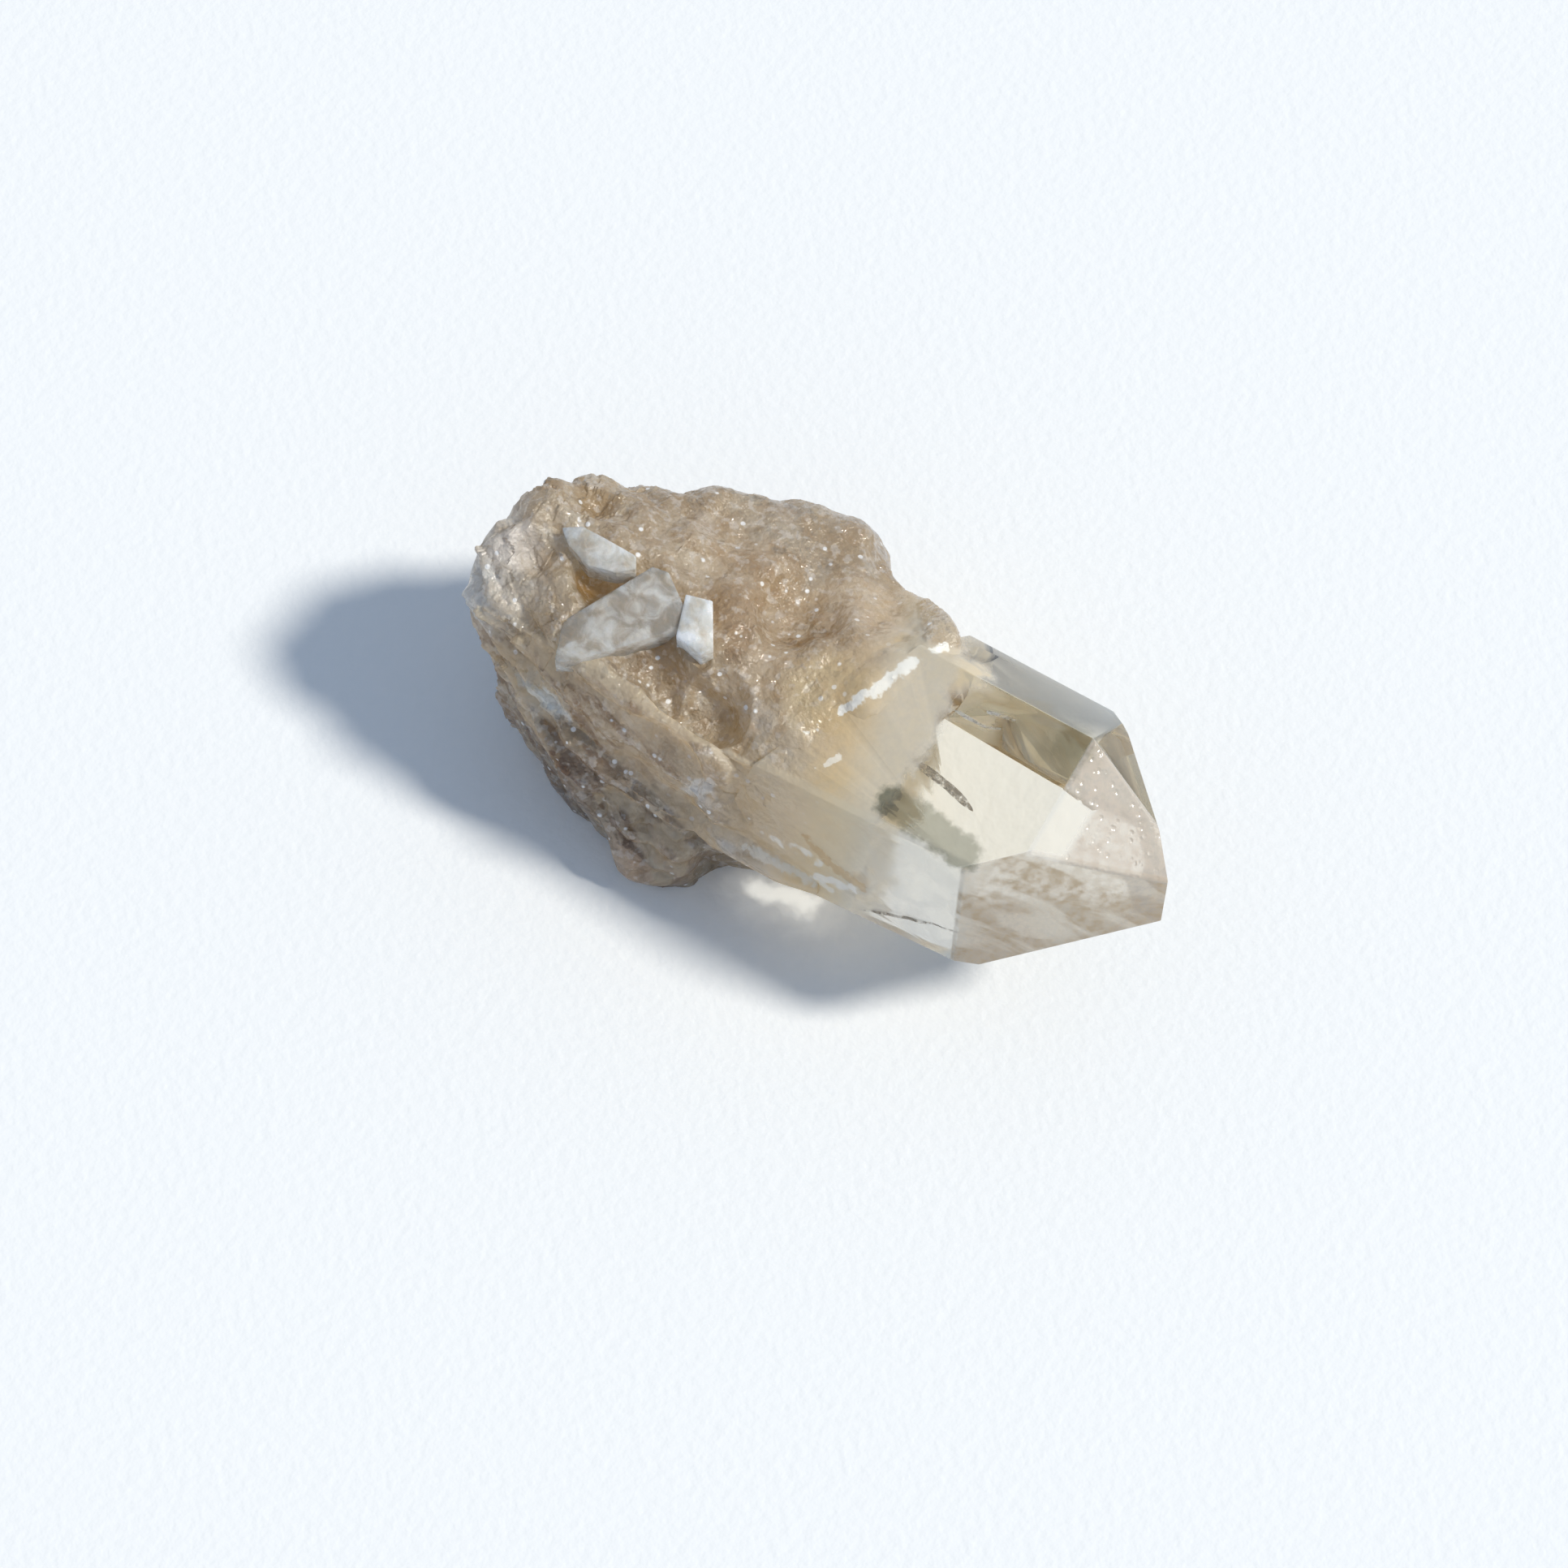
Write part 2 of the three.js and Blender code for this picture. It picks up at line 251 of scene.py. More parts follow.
def tube_faces(rows: int, columns: int) -> list[list[int]]:
    """Faces over a grid of loops, with a point that closes each end.

    Args:
        rows: Number of loops.
        columns: Number of points in each loop. The first end point follows the last loop.

    Returns:
        Quads between the loops and a fan of triangles on each end, facing outwards.
    """
    row, column = np.meshgrid(np.arange(rows - 1), np.arange(columns), indexing="ij")
    follows = (column + 1) % columns
    a, b = row * columns + column, (row + 1) * columns + column
    c, d = (row + 1) * columns + follows, row * columns + follows
    quads = np.stack([a, b, c, d], axis=-1).reshape(-1, 4)
    j = np.arange(columns)
    k = (j + 1) % columns
    start = np.full(columns, rows * columns)
    last = (rows - 1) * columns
    fans = np.stack([start, j, k], -1), np.stack([start + 1, last + k, last + j], -1)
    return quads.tolist() + np.concatenate(fans).tolist()


def hull_object(name: str, points: np.ndarray, bevel: float) -> Piece:
    """The convex body around some points, with its edges worn.

    Args:
        name: Name of the object.
        points: Points in millimetres, shaped (n, 3).
        bevel: Width of the wear on its edges, in millimetres.

    Returns:
        The new object.
    """
    shape = bmesh.new()
    for point in points * MM:
        shape.verts.new(point)
    bmesh.ops.convex_hull(shape, input=shape.verts)
    bmesh.ops.dissolve_limit(
        shape, angle_limit=math.radians(0.5), verts=shape.verts, edges=shape.edges
    )
    if bevel:
        bmesh.ops.bevel(
            shape, geom=shape.edges[:], offset=bevel * MM, segments=2, profile=0.5, affect="EDGES"
        )
    bmesh.ops.recalc_face_normals(shape, faces=shape.faces)
    mesh = bpy.data.meshes.new(name)
    shape.to_mesh(mesh)
    shape.free()
    made = bpy.data.objects.new(name, mesh)
    bpy.context.scene.collection.objects.link(made)
    return made


def combine(body: Piece, other: Piece, cut: Cut) -> None:
    """Joins a closed body to another or takes it away, and removes the other.

    Args:
        body: Object that keeps the result.
        other: Object that is used up.
        cut: Whether it is joined or taken away.
    """
    step = body.modifiers.new("combine", "BOOLEAN")
    step.operation, step.object, step.solver = cut.value, other, "MANIFOLD"
    settled = body.evaluated_get(bpy.context.evaluated_depsgraph_get())
    mesh = bpy.data.meshes.new_from_object(settled)
    body.modifiers.clear()
    body.data = mesh
    bpy.data.objects.remove(other)


def shade(piece: Piece, crease: float) -> None:
    """Smooth shading with sharp creases.

    Args:
        piece: Object to shade.
        crease: Angle in degrees from which an edge stays sharp.
    """
    piece.data.shade_smooth()
    piece.data.set_sharp_from_angle(angle=math.radians(crease))


class Wiring:
    """A material's node tree, with short ways to add nodes to it."""

    def __init__(self, name: str) -> None:
        """Starts an empty material of that name."""
        self.material = bpy.data.materials.new(name)
        self.material.use_nodes = True
        self.tree = self.material.node_tree
        self.tree.nodes.clear()
        place = self.add("ShaderNodeTexCoord").outputs["Object"]
        self.place = self.add(
            "ShaderNodeMapping", {"Vector": place, "Scale": (1 / MM, 1 / MM, 1 / MM)}
        ).outputs[0]

    def add(self, kind: str, inputs: dict | None = None, **settings: object) -> bpy.types.Node:
        """Adds a node.

        Args:
            kind: Blender's name of the node type.
            inputs: Value or socket for each input, by name or number.
            settings: Properties of the node.

        Returns:
            The node.
        """
        node = self.tree.nodes.new(kind)
        for name, value in settings.items():
            setattr(node, name, value)
        for name, value in (inputs or {}).items():
            socket = node.inputs[name]
            if isinstance(value, Socket):
                self.tree.links.new(value, socket)
            else:
                socket.default_value = (*value, 1.0) if socket.type == "RGBA" else value
        return node

    def math(self, operation: str, *values: object) -> Socket:
        """A Math node over one to three values."""
        return self.add("ShaderNodeMath", dict(enumerate(values)), operation=operation).outputs[0]

    def times(self, first: object, second: object) -> object:
        """A product, without a node where one of the two is 0 or 1."""
        for share, other in ((first, second), (second, first)):
            if share in PLAIN:
                return other if share else 0.0
        return self.math("MULTIPLY", first, second)

    def ramp(
        self, value: object, low: float, high: float, start: float = 0.0, end: float = 1.0
    ) -> Socket:
        """A smooth change from start to end as value goes from low to high."""
        inputs = {0: value, 1: low, 2: high, 3: start, 4: end}
        return self.add("ShaderNodeMapRange", inputs, interpolation_type="SMOOTHSTEP").outputs[0]

    def mix(self, share: object, first: object, second: object) -> object:
        """A blend of two colours, without a node where the share is 0 or 1."""
        if share in PLAIN:
            return second if share else first
        inputs = {0: share, 6: first, 7: second}
        return self.add("ShaderNodeMix", inputs, data_type="RGBA", clamp_factor=True).outputs[2]

    def blend(self, share: object, first: object, second: object) -> object:
        """A blend of two numbers, without a node where the share is 0 or 1."""
        if share in PLAIN:
            return second if share else first
        inputs = {0: share, 2: first, 3: second}
        return self.add("ShaderNodeMix", inputs, data_type="FLOAT", clamp_factor=True).outputs[0]

    def noise(
        self, scale: float, detail: float = 3.0, twist: float = 0.0, place: object = None
    ) -> Socket:
        """Cloudy noise from 0 to 1, with scale in waves per millimetre."""
        place = place or self.place
        inputs = {"Vector": place, "Scale": scale, "Detail": detail, "Distortion": twist}
        return self.add("ShaderNodeTexNoise", inputs).outputs[0]

    def stretched(self, direction: tuple, length: float, width: float) -> Socket:
        """Object coordinates for a pattern drawn out along a direction.

        Args:
            direction: The direction.
            length: Waves per millimetre along it.
            width: Waves per millimetre across it.

        Returns:
            The coordinates.
        """
        turn = Vector(direction).rotation_difference(Vector((1, 0, 0))).to_euler("XYZ")
        inputs = {"Vector": self.place, "Rotation": tuple(turn)}
        turned = self.add("ShaderNodeMapping", inputs).outputs[0]
        scale = (length, width, width)
        return self.add("ShaderNodeMapping", {"Vector": turned, "Scale": scale}).outputs[0]

    def streak(
        self,
        start: tuple,
        end: tuple,
        ragged: object,
        width: float,
        core: float = 0.55,
        share: float = 1.0,
    ) -> Socket:
        """A share along a line between two points, and 0 beyond a width from it.

        Args:
            start: One end of the line, in millimetres.
            end: The other end.
            ragged: Added to the distance from the line.
            width: Half width of the streak, in millimetres.
            core: Share of the width that is full.
            share: How much the streak covers.

        Returns:
            The share.
        """
        line = Vector(end) - Vector(start)
        away = self.vector("SUBTRACT", self.place, start)
        run = self.dot(away, tuple(line / line.length_squared))
        run = self.add("ShaderNodeClamp", {0: run}).outputs[0]
        along = self.add(
            "ShaderNodeVectorMath", {0: tuple(line), "Scale": run}, operation="SCALE"
        ).outputs[0]
        return self.within(self.distance(away, along), ragged, core * width, width, share)

    def dot(self, first: object, second: object) -> Socket:
        """How far one vector reaches along another."""
        inputs = {0: first, 1: second}
        node = self.add("ShaderNodeVectorMath", inputs, operation="DOT_PRODUCT")
        return node.outputs["Value"]

    def distance(self, first: object, second: object) -> Socket:
        """Distance between two places."""
        inputs = {0: first, 1: second}
        return self.add("ShaderNodeVectorMath", inputs, operation="DISTANCE").outputs["Value"]

    def within(
        self, away: object, ragged: object, core: float, edge: float, share: float
    ) -> Socket:
        """A share within core millimetres that falls to 0 at edge, with a ragged border."""
        return self.ramp(self.math("ADD", away, ragged), core, edge, share, 0.0)

    def vector(self, operation: str, first: object, second: object) -> Socket:
        """A Vector Math node over two vectors."""
        inputs = {0: first, 1: second}
        return self.add("ShaderNodeVectorMath", inputs, operation=operation).outputs[0]

    def beyond(
        self, normal: tuple, low: float, high: float, waver: object = 0.0
    ) -> Socket:
        """0 to 1 between two distances along a direction, with an uneven border."""
        return self.ramp(self.math("ADD", self.dot(self.place, normal), waver), low, high)

    def on_plane(
        self, normal: tuple, distance: float, depth: float = 0.12
    ) -> Socket:
        """1 on a plane given by its normal and distance, and 0 beyond a small depth from it."""
        away = self.math("SUBTRACT", self.dot(self.place, normal), distance)
        return self.ramp(self.math("ABSOLUTE", away), depth, 2 * depth, 1.0, 0.0)

    def any_of(self, *shares: object) -> object:
        """The largest of some shares."""
        total, *others = [share for share in shares if share not in PLAIN] or [0.0]
        for share in others:
            total = self.math("MAXIMUM", total, share)
        return total

    def bump(self, height: object, depth: float, normal: object = None) -> Socket:
        """A bumped normal, with depth in millimetres."""
        inputs = {"Height": height, "Strength": 1.0, "Distance": depth * MM}
        if normal is not None:
            inputs["Normal"] = normal
        return self.add("ShaderNodeBump", inputs).outputs[0]

    def cells(self, scale: float) -> bpy.types.Node:
        """Small cells of many shapes, with scale in cells per millimetre."""
        return self.add("ShaderNodeTexVoronoi", {"Vector": self.place, "Scale": scale})

    def broken(self, cells: bpy.types.Node, spread: object, normal: object) -> Socket:
        """A normal turned by its own amount in each small cell, as on flat breaks.

        Args:
            cells: The cells.
            spread: How far the normals spread.
            normal: The normal they spread around.

        Returns:
            The new normal.
        """
        turn = self.vector("SUBTRACT", cells.outputs["Color"], (0.5, 0.5, 0.5))
        inputs = {0: turn, "Scale": spread}
        turn = self.add("ShaderNodeVectorMath", inputs, operation="SCALE").outputs[0]
        turned = self.vector("ADD", normal, turn)
        return self.add("ShaderNodeVectorMath", {0: turned}, operation="NORMALIZE").outputs[0]

    def shaders(
        self, share: object, first: Socket, second: Socket
    ) -> Socket:
        """A blend of two shaders."""
        return self.add("ShaderNodeMixShader", {0: share, 1: first, 2: second}).outputs[0]

    def finish(self, surface: Socket, volume: object = None) -> bpy.types.Material:
        """Links the shaders to the output and returns the material."""
        inputs = {"Surface": surface}
        if volume is not None:
            inputs["Volume"] = volume
        self.add("ShaderNodeOutputMaterial", inputs)
        return self.material


@dataclass(frozen=True)
class ColourPatch:
    """A patch of another colour or cloudiness, some of them painted shade: its centre, the radius of
    its full part, the radius where it ends, its colour, and how much it covers."""

    at: tuple
    core: float
    edge: float
    colour: tuple
    share: float = 1.0


@dataclass(frozen=True)
class Streak:
    """A drawn-out mark on the surface: the points it runs through, half its width, its colour and
    how much it covers."""

    path: tuple
    width: float
    colour: tuple
    share: float = 1.0


@dataclass(frozen=True)
class Zone:
    """A stretch of the body along x, from start to end in millimetres, with its own shader that
    holds only the marks that reach it. Neighbours look the same where they meet, and a ray then
    works out fewer marks. clear is the share of clear quartz, or None where that changes."""

    start: float
    end: float
    clear: float | None

    def holds(self, points: tuple, reach: float) -> bool:
        """Whether a mark around some points can show in the zone."""
        places = [point[0] for point in points]
        return min(places) - reach < self.end and max(places) + reach > self.start


@dataclass
class Look:
    """What a shader of the body is given: its colour, clearness, roughness and inner glow."""

    colour: object
    solid: object
    rough: object
    glowing: object

    def lay(self, w: Wiring, share: object, colour: object, **others: float) -> None:
        """Lays a mark over the look.

        Args:
            w: The node tree.
            share: Where the mark lies.
            colour: Its colour.
            others: Its clearness, roughness or glow, by name.
        """
        self.colour = w.mix(share, self.colour, colour)
        for name, value in others.items():
            setattr(self, name, w.blend(share, getattr(self, name), value))


@dataclass(frozen=True)
class CitrineFinish:
    """Quartz that is clear in the point and cloudy tan in the base."""

    name: str = "citrine"
    ior: float = 1.544
    absorption: tuple = (0.84, 0.79, 0.60)
    density: float = 24.0
    white: tuple = (0.92, 0.89, 0.86)
    clear_white: tuple = (0.97, 0.95, 0.91)
    glow_tint: tuple = (0.95, 0.74, 0.50)
    coat_roughness: float = 0.03
    relief_depth: float = 0.22
    pit_depth: float = 0.03
    ragged_reach: float = 1.2
    fray_reach: float = 0.6
    lines_end: float = -4.0
    zones: tuple = (
        Zone(-math.inf, -7.0, 0.0), Zone(-7.0, 9.6, None), Zone(9.6, math.inf, 1.0)
    )
    # Patches of colour: the quartz's own brown and golden stains, and two patches with painted shade
    # in them, one on the flank and one near the point's shoulder.
    stains_and_painted_shade: tuple = (
        ColourPatch((-17.0, -2.6, 18.6), 1.0, 1.7, (0.42, 0.23, 0.06), 0.95),
        ColourPatch((-20.7, -3.2, 19.0), 0.5, 1.5, (0.50, 0.30, 0.10), 0.8),
        ColourPatch((-19.9, 2.2, 18.6), 0.6, 2.0, (0.55, 0.36, 0.15), 0.7),
        ColourPatch((-8.2, 0.0, 19.6), 1.0, 3.4, (0.52, 0.36, 0.20), 0.7),
        ColourPatch((-6.4, -1.6, 19.4), 0.4, 1.8, (0.52, 0.34, 0.17), 0.6),
        ColourPatch((-11.0, -4.5, 18.6), 1.0, 4.0, (0.50, 0.38, 0.26), 0.55),
        ColourPatch((0.6, 7.4, 17.8), 0.6, 2.6, (0.70, 0.50, 0.24), 0.5),
        ColourPatch((2.6, 4.2, 21.0), 0.4, 1.5, (0.72, 0.50, 0.20), 0.7),
        ColourPatch((3.4, -5.6, 17.6), 3.6, 7.4, (0.95, 0.88, 0.75), 0.85),
        ColourPatch((0.4, -1.4, 20.6), 1.6, 4.2, (0.95, 0.82, 0.54), 0.75),
        # A darker brown patch over the flank, the side away from the light: partly the base's own
        # brown, partly painted shade.
        ColourPatch((-12.0, -10.6, 8.6), 1.6, 5.4, (0.36, 0.23, 0.13), 0.8),
        ColourPatch((-7.0, -11.0, 3.6), 1.6, 4.6, (0.85, 0.58, 0.40), 0.85),
        # Painted shade: a dark grey-olive patch near the shoulder of the point, standing for the
        # dark that the clear crystal reflects inside.
        ColourPatch((15.4, 2.7, 23.0), 0.8, 2.6, (0.22, 0.22, 0.14), 0.75),
        ColourPatch((12.0, 3.6, 22.8), 0.6, 2.4, (0.78, 0.62, 0.34), 0.5),
        ColourPatch((-4.2, -9.6, 3.4), 0.4, 1.8, (0.30, 0.18, 0.08), 0.8),
        ColourPatch((3.6, -8.6, 13.7), 0.3, 1.5, (0.72, 0.52, 0.28), 0.6),
        ColourPatch((7.4, -8.6, 13.6), 0.2, 1.2, (0.70, 0.48, 0.24), 0.6),
    )
    milk: tuple = (
        ColourPatch((-23.0, -3.4, 15.6), 2.0, 6.5, (0.94, 0.92, 0.88), 0.85),
        ColourPatch((7.0, 4.2, 22.0), 0.7, 2.2, (0.84, 0.68, 0.42), 0.85),
        ColourPatch((-22.4, -3.6, 19.6), 0.8, 2.2, (0.90, 0.84, 0.79), 0.8),
        ColourPatch((-23.8, -6.0, 16.0), 1.6, 3.2, (0.88, 0.91, 0.92), 0.9),
        ColourPatch((-4.4, -9.1, 13.6), 0.3, 1.6, (0.88, 0.87, 0.85), 0.7),
        ColourPatch((-4.6, -7.2, 18.0), 0.3, 1.5, (0.84, 0.80, 0.75), 0.5),
        ColourPatch((-2.6, -4.6, 19.0), 0.3, 1.6, (0.84, 0.78, 0.70), 0.4),
        ColourPatch((2.4, -9.9, 10.8), 0.5, 2.4, (0.90, 0.87, 0.83), 0.7),
        ColourPatch((-2.0, -9.9, 10.4), 0.5, 2.0, (0.88, 0.86, 0.82), 0.7),
        ColourPatch((-13.4, 5.0, 18.6), 0.2, 1.8, (0.80, 0.78, 0.76), 0.5),
    )
    # Drawn streaks: dark brown lines down the flank, a golden streak low on the front, and one band
    # of painted shade on the point.
    streaks_and_painted_shade: tuple = (
        Streak(((-14.6, -11.3, 10.8), (-12.6, -11.4, 8.6), (-11.0, -11.2, 6.6)),
               0.45, (0.20, 0.10, 0.05), 0.85),
        Streak(((-10.2, -11.6, 6.4), (-8.4, -11.8, 5.0)), 0.4, (0.24, 0.13, 0.07), 0.8),
        Streak(((-19.2, -8.8, 6.6), (-17.6, -9.4, 4.2)), 0.35, (0.24, 0.13, 0.07), 0.7),
        Streak(((3.2, -8.6, 14.6), (5.6, -8.8, 13.4), (7.6, -8.8, 13.2)),
               0.5, (0.70, 0.50, 0.26), 0.6),
        # Painted shade: a wide dark olive band on the point's top face near its front edge, standing
        # for the shadowed table seen through the crystal.
        Streak(((7.6, -5.3, 20.0), (9.6, -5.4, 20.3), (13.3, -6.0, 20.7)),
               1.4, (0.13, 0.14, 0.09), 0.8),
    )
    veils: tuple = (
        Streak(((0.4, -4.2, 19.7), (1.7, -2.0, 20.5)), 0.24, (0.95, 0.93, 0.86), 0.85),
        Streak(((1.6, -2.0, 20.4), (2.3, -0.9, 20.9)), 0.34, (0.97, 0.95, 0.88), 0.9),
        Streak(((2.2, -1.0, 20.9), (3.1, 0.6, 21.5), (3.7, 2.4, 21.8)),
               0.5, (0.97, 0.95, 0.88), 0.95),
        Streak(((3.7, 2.2, 21.8), (4.9, 4.9, 21.6)), 0.36, (0.97, 0.95, 0.88), 0.95),
        Streak(((-19.6, -8.2, 12.4), (-16.4, -9.0, 13.8), (-14.6, -9.2, 13.4)),
               0.6, (0.92, 0.95, 0.93), 0.6),
        Streak(((1.2, -9.2, 12.6), (3.4, -9.1, 13.4), (4.6, -9.1, 12.8)),
               0.5, (0.98, 0.95, 0.88), 0.7),
        Streak(((4.6, -9.3, 11.6), (7.2, -9.1, 12.6)), 0.4, (0.98, 0.96, 0.92), 0.7),
        Streak(((-0.6, -9.8, 10.9), (5.6, -9.5, 11.2)), 0.4, (0.97, 0.94, 0.86), 0.6),
        Streak(((6.6, 3.0, 21.8), (5.4, 3.7, 21.8)), 0.3, (0.97, 0.95, 0.9), 0.9),
        Streak(((-14.8, -8.6, 14.6), (-17.4, -8.2, 14.6)), 0.35, (0.9, 0.93, 0.9), 0.7),
        Streak(((1.6, -6.6, 18.4), (3.0, -4.6, 19.6)), 0.22, (0.97, 0.94, 0.86), 0.7),
        Streak(((-3.8, -9.0, 15.2), (-5.4, -9.0, 12.6)), 0.7, (0.90, 0.88, 0.85), 0.6),
    )
    flank_window: ColourPatch = ColourPatch((-16.6, -9.0, 14.0), 1.2, 2.4, (0.97, 1.0, 0.95), 0.9)

    def build(self, planes: dict) -> bpy.types.Material:
        """Makes the material.

        Args:
            planes: Normal and distance of the prism's faces: "back", "top", "front" and the tip
                faces "tip_top" and "tip_front".

        Returns:
            The material.
        """
        w = Wiring(self.name)
        noises = w.noise(0.22, 3, 0.5), w.noise(0.55, 4, 0.8), w.noise(1.6, 3)
        x = w.dot(w.place, (1, 0, 0))
        shader, *others = [self.quartz(w, zone, planes, noises) for zone in self.zones]
        for zone, other in zip(self.zones[1:], others):
            shader = w.shaders(w.math("GREATER_THAN", x, zone.start), shader, other)
        inputs = {"Color": self.absorption, "Density": self.density}
        return w.finish(shader, w.add("ShaderNodeVolumeAbsorption", inputs).outputs[0])

    def clear_share(self, w: Wiring, planes: dict, cloud: Socket) -> Socket:
        """1 on the clear point and 0 on the base, with an uneven border between them."""
        clear = w.beyond((0.9, 0.12, -0.08), -2.0, 3.6, w.times(cloud, 3.0))
        normal, distance = planes["back"]
        base_only = w.beyond(normal, distance + 0.1, distance + 0.5)
        return w.times(clear, w.math("SUBTRACT", 1.0, base_only))

    def quartz(self, w: Wiring, zone: Zone, planes: dict, noises: tuple) -> Socket:
        """The shader of one zone of the body.

        Args:
            w: The node tree.
            zone: The zone.
            planes: Normal and distance of the prism's faces.
            noises: Wide, middle and fine noise.

        Returns:
            The shader.
        """
        cloud, patches, grain = noises
        clear = self.clear_share(w, planes, cloud) if zone.clear is None else zone.clear
        base = w.math("SUBTRACT", 1.0, clear) if zone.clear is None else 1.0 - zone.clear
        ragged = w.times(w.math("SUBTRACT", patches, 0.5), 2 * self.ragged_reach)
        fray = w.times(w.math("SUBTRACT", grain, 0.5), 2 * self.fray_reach)
        cells = w.cells(1.15)
        tone = w.add("ShaderNodeSeparateColor", {0: cells.outputs["Color"]}).outputs
        tan = w.mix(w.ramp(cloud, 0.3, 0.7), (0.66, 0.52, 0.35), (0.90, 0.80, 0.64))
        tan = w.mix(w.ramp(patches, 0.52, 0.68, 0, 0.5), tan, (0.50, 0.36, 0.21))
        look = Look(
            colour=w.mix(clear, tan, self.clear_white),
            solid=w.blend(clear, w.blend(grain, 0.35, 0.75), 1.0),
            rough=w.blend(clear, w.blend(grain, 0.12, 0.28), 0.015),
            glowing=w.blend(clear, 0.3, 0.0),
        )
        # Lays the stains and the painted shade patches over the colour.
        for share, stain in self.spots(w, zone, self.stains_and_painted_shade, ragged):
            look.lay(w, share, stain.colour)
        if zone.start < self.lines_end:
            look.lay(w, self.brown_lines(w), (0.30, 0.18, 0.10))
        dark = w.times(w.times(tone[0], tone[0]), w.times(base, 0.45))
        look.lay(w, dark, (0.46, 0.32, 0.19))
        milky = w.times(w.ramp(w.noise(1.5, 4), 0.53, 0.64, 0, 0.45), base)
        look.lay(w, milky, self.white)
        for share, stain in self.spots(w, zone, self.milk, ragged):
            look.lay(w, share, stain.colour)
            milky = w.any_of(milky, share)
        for share, stain in self.spots(w, zone, (self.flank_window,), ragged):
            look.lay(w, share, stain.colour, solid=0.55, rough=0.03)
        look.solid = w.blend(milky, look.solid, 0.25)
        for haze, tint, glow in self.hazes(w, zone, planes, clear, patches, grain):
            look.lay(w, haze, tint, solid=0.05, rough=0.2, glowing=glow)
        # Lays the streaks, with the band of painted shade among them.
        for share, streak in self.marks(w, zone, self.streaks_and_painted_shade, fray):
            look.lay(w, share, streak.colour)
        # Painted glints: pure white dots at the centres of some small cells on the base, standing in
        # for highlights of the light on tiny facets.
        painted_glints = w.times(w.ramp(cells.outputs["Distance"], 0.15, 0.24, 1.0, 0.0), base)
        painted_glints = w.times(painted_glints, w.ramp(tone[1], 0.6, 0.7))
        look.lay(w, painted_glints, (1, 1, 1), solid=0.0)
        for share, streak in self.marks(w, zone, self.veils, fray):
            look.lay(w, share, streak.colour, solid=0.05, glowing=0.2)
        inputs = {
            "Base Color": look.colour,
            "Roughness": look.rough,
            "IOR": self.ior,
            "Transmission Weight": look.solid,
        }
        if base == 0.0:
            pits = w.cells(1.7).outputs["Distance"]
            pits = w.times(self.pitted_area(w, planes), w.ramp(pits, 0.1, 0.4))
            inputs["Normal"] = w.bump(pits, self.pit_depth)
        else:
            relief = w.bump(w.times(w.noise(2.6, 3), base), self.relief_depth)
            relief = w.broken(cells, w.times(base, 0.55), relief)
            shine = w.times(base, w.ramp(patches, 0.4, 0.6, 0.6, 1.5))
            inputs |= {
                "Normal": relief,
                "Coat Weight": w.blend(clear, 1.0, 0.0),
                "Coat Roughness": self.coat_roughness,
                "Coat Normal": w.broken(w.cells(2.6), shine, relief),
            }
        shader = w.add("ShaderNodeBsdfPrincipled", inputs).outputs[0]
        full = w.math("MAXIMUM", clear, 0.55) if zone.clear is None else max(clear, 0.55)
        glow = w.mix(full, self.glow_tint, look.colour)
        inside = w.add("ShaderNodeBsdfTranslucent", {"Color": glow}).outputs[0]
        return w.shaders(look.glowing, shader, inside)

    def brown_lines(self, w: Wiring) -> Socket:
        """Brown lines that run down the front flank, from 0 to 1."""
        flank = w.beyond((0, -1, -0.12), 4.8, 6.4)
        line = w.noise(1.0, 3, 0.0, w.stretched((4.9, 0.2, -4.4), 0.12, 1.0))
        left = w.beyond((-1, 0, 0), 4.0, 7.0)
        return w.times(w.times(flank, left), w.ramp(line, 0.48, 0.56, 0, 0.8))

    def marks(self, w: Wiring, zone: Zone, streaks: tuple, fray: Socket) -> Iterator[tuple]:
        """Where each streak that reaches the zone lies, and the streak."""
        for streak in streaks:
            if zone.holds(streak.path, streak.width + self.fray_reach):
                pairs = zip(streak.path, streak.path[1:])
                size = {"ragged": fray, "width": streak.width, "share": streak.share}
                yield w.any_of(*[w.streak(*pair, **size) for pair in pairs]), streak

    def spots(self, w: Wiring, zone: Zone, stains_and_painted_shade: tuple, ragged: Socket) -> Iterator[tuple]:
        """Where each stain that reaches the zone lies, and the stain."""
        for stain in stains_and_painted_shade:
            if zone.holds((stain.at,), stain.edge + self.ragged_reach):
                away = w.distance(w.place, stain.at)
                yield w.within(away, ragged, stain.core, stain.edge, stain.share), stain

    def pitted_area(self, w: Wiring, planes: dict) -> Socket:
        """The finely pitted part of the upper tip face, right of its clear window."""
        area = w.any_of(w.beyond((1, 0, 0), 18.3, 18.9), w.beyond((0, 1, 0), 0.2, 0.9))
        return w.times(w.on_plane(*planes["tip_top"]), area)

    def hazes(
        self, w: Wiring, zone: Zone, planes: dict, clear: object, patches: Socket, grain: Socket
    ) -> list[tuple]:
        """Thin haze on parts of the clear point. The blue-grey on the front face is a painted
        reflection of the sky, and the thin white haze on the window of the upper tip face is painted
        light.

        Args:
            w: The node tree.
            zone: The zone of the body.
            planes: Normal and distance of the prism's faces.
            clear: 1 on the clear point and 0 on the base.
            patches: Middle noise.
            grain: Fine noise.

        Returns:
            For each haze its share, its colour and how much light shines through it.
        """
        puff = w.math("ADD", w.times(patches, 1.6), w.times(grain, 0.8))
        front = w.on_plane(*planes["front"], 0.3)
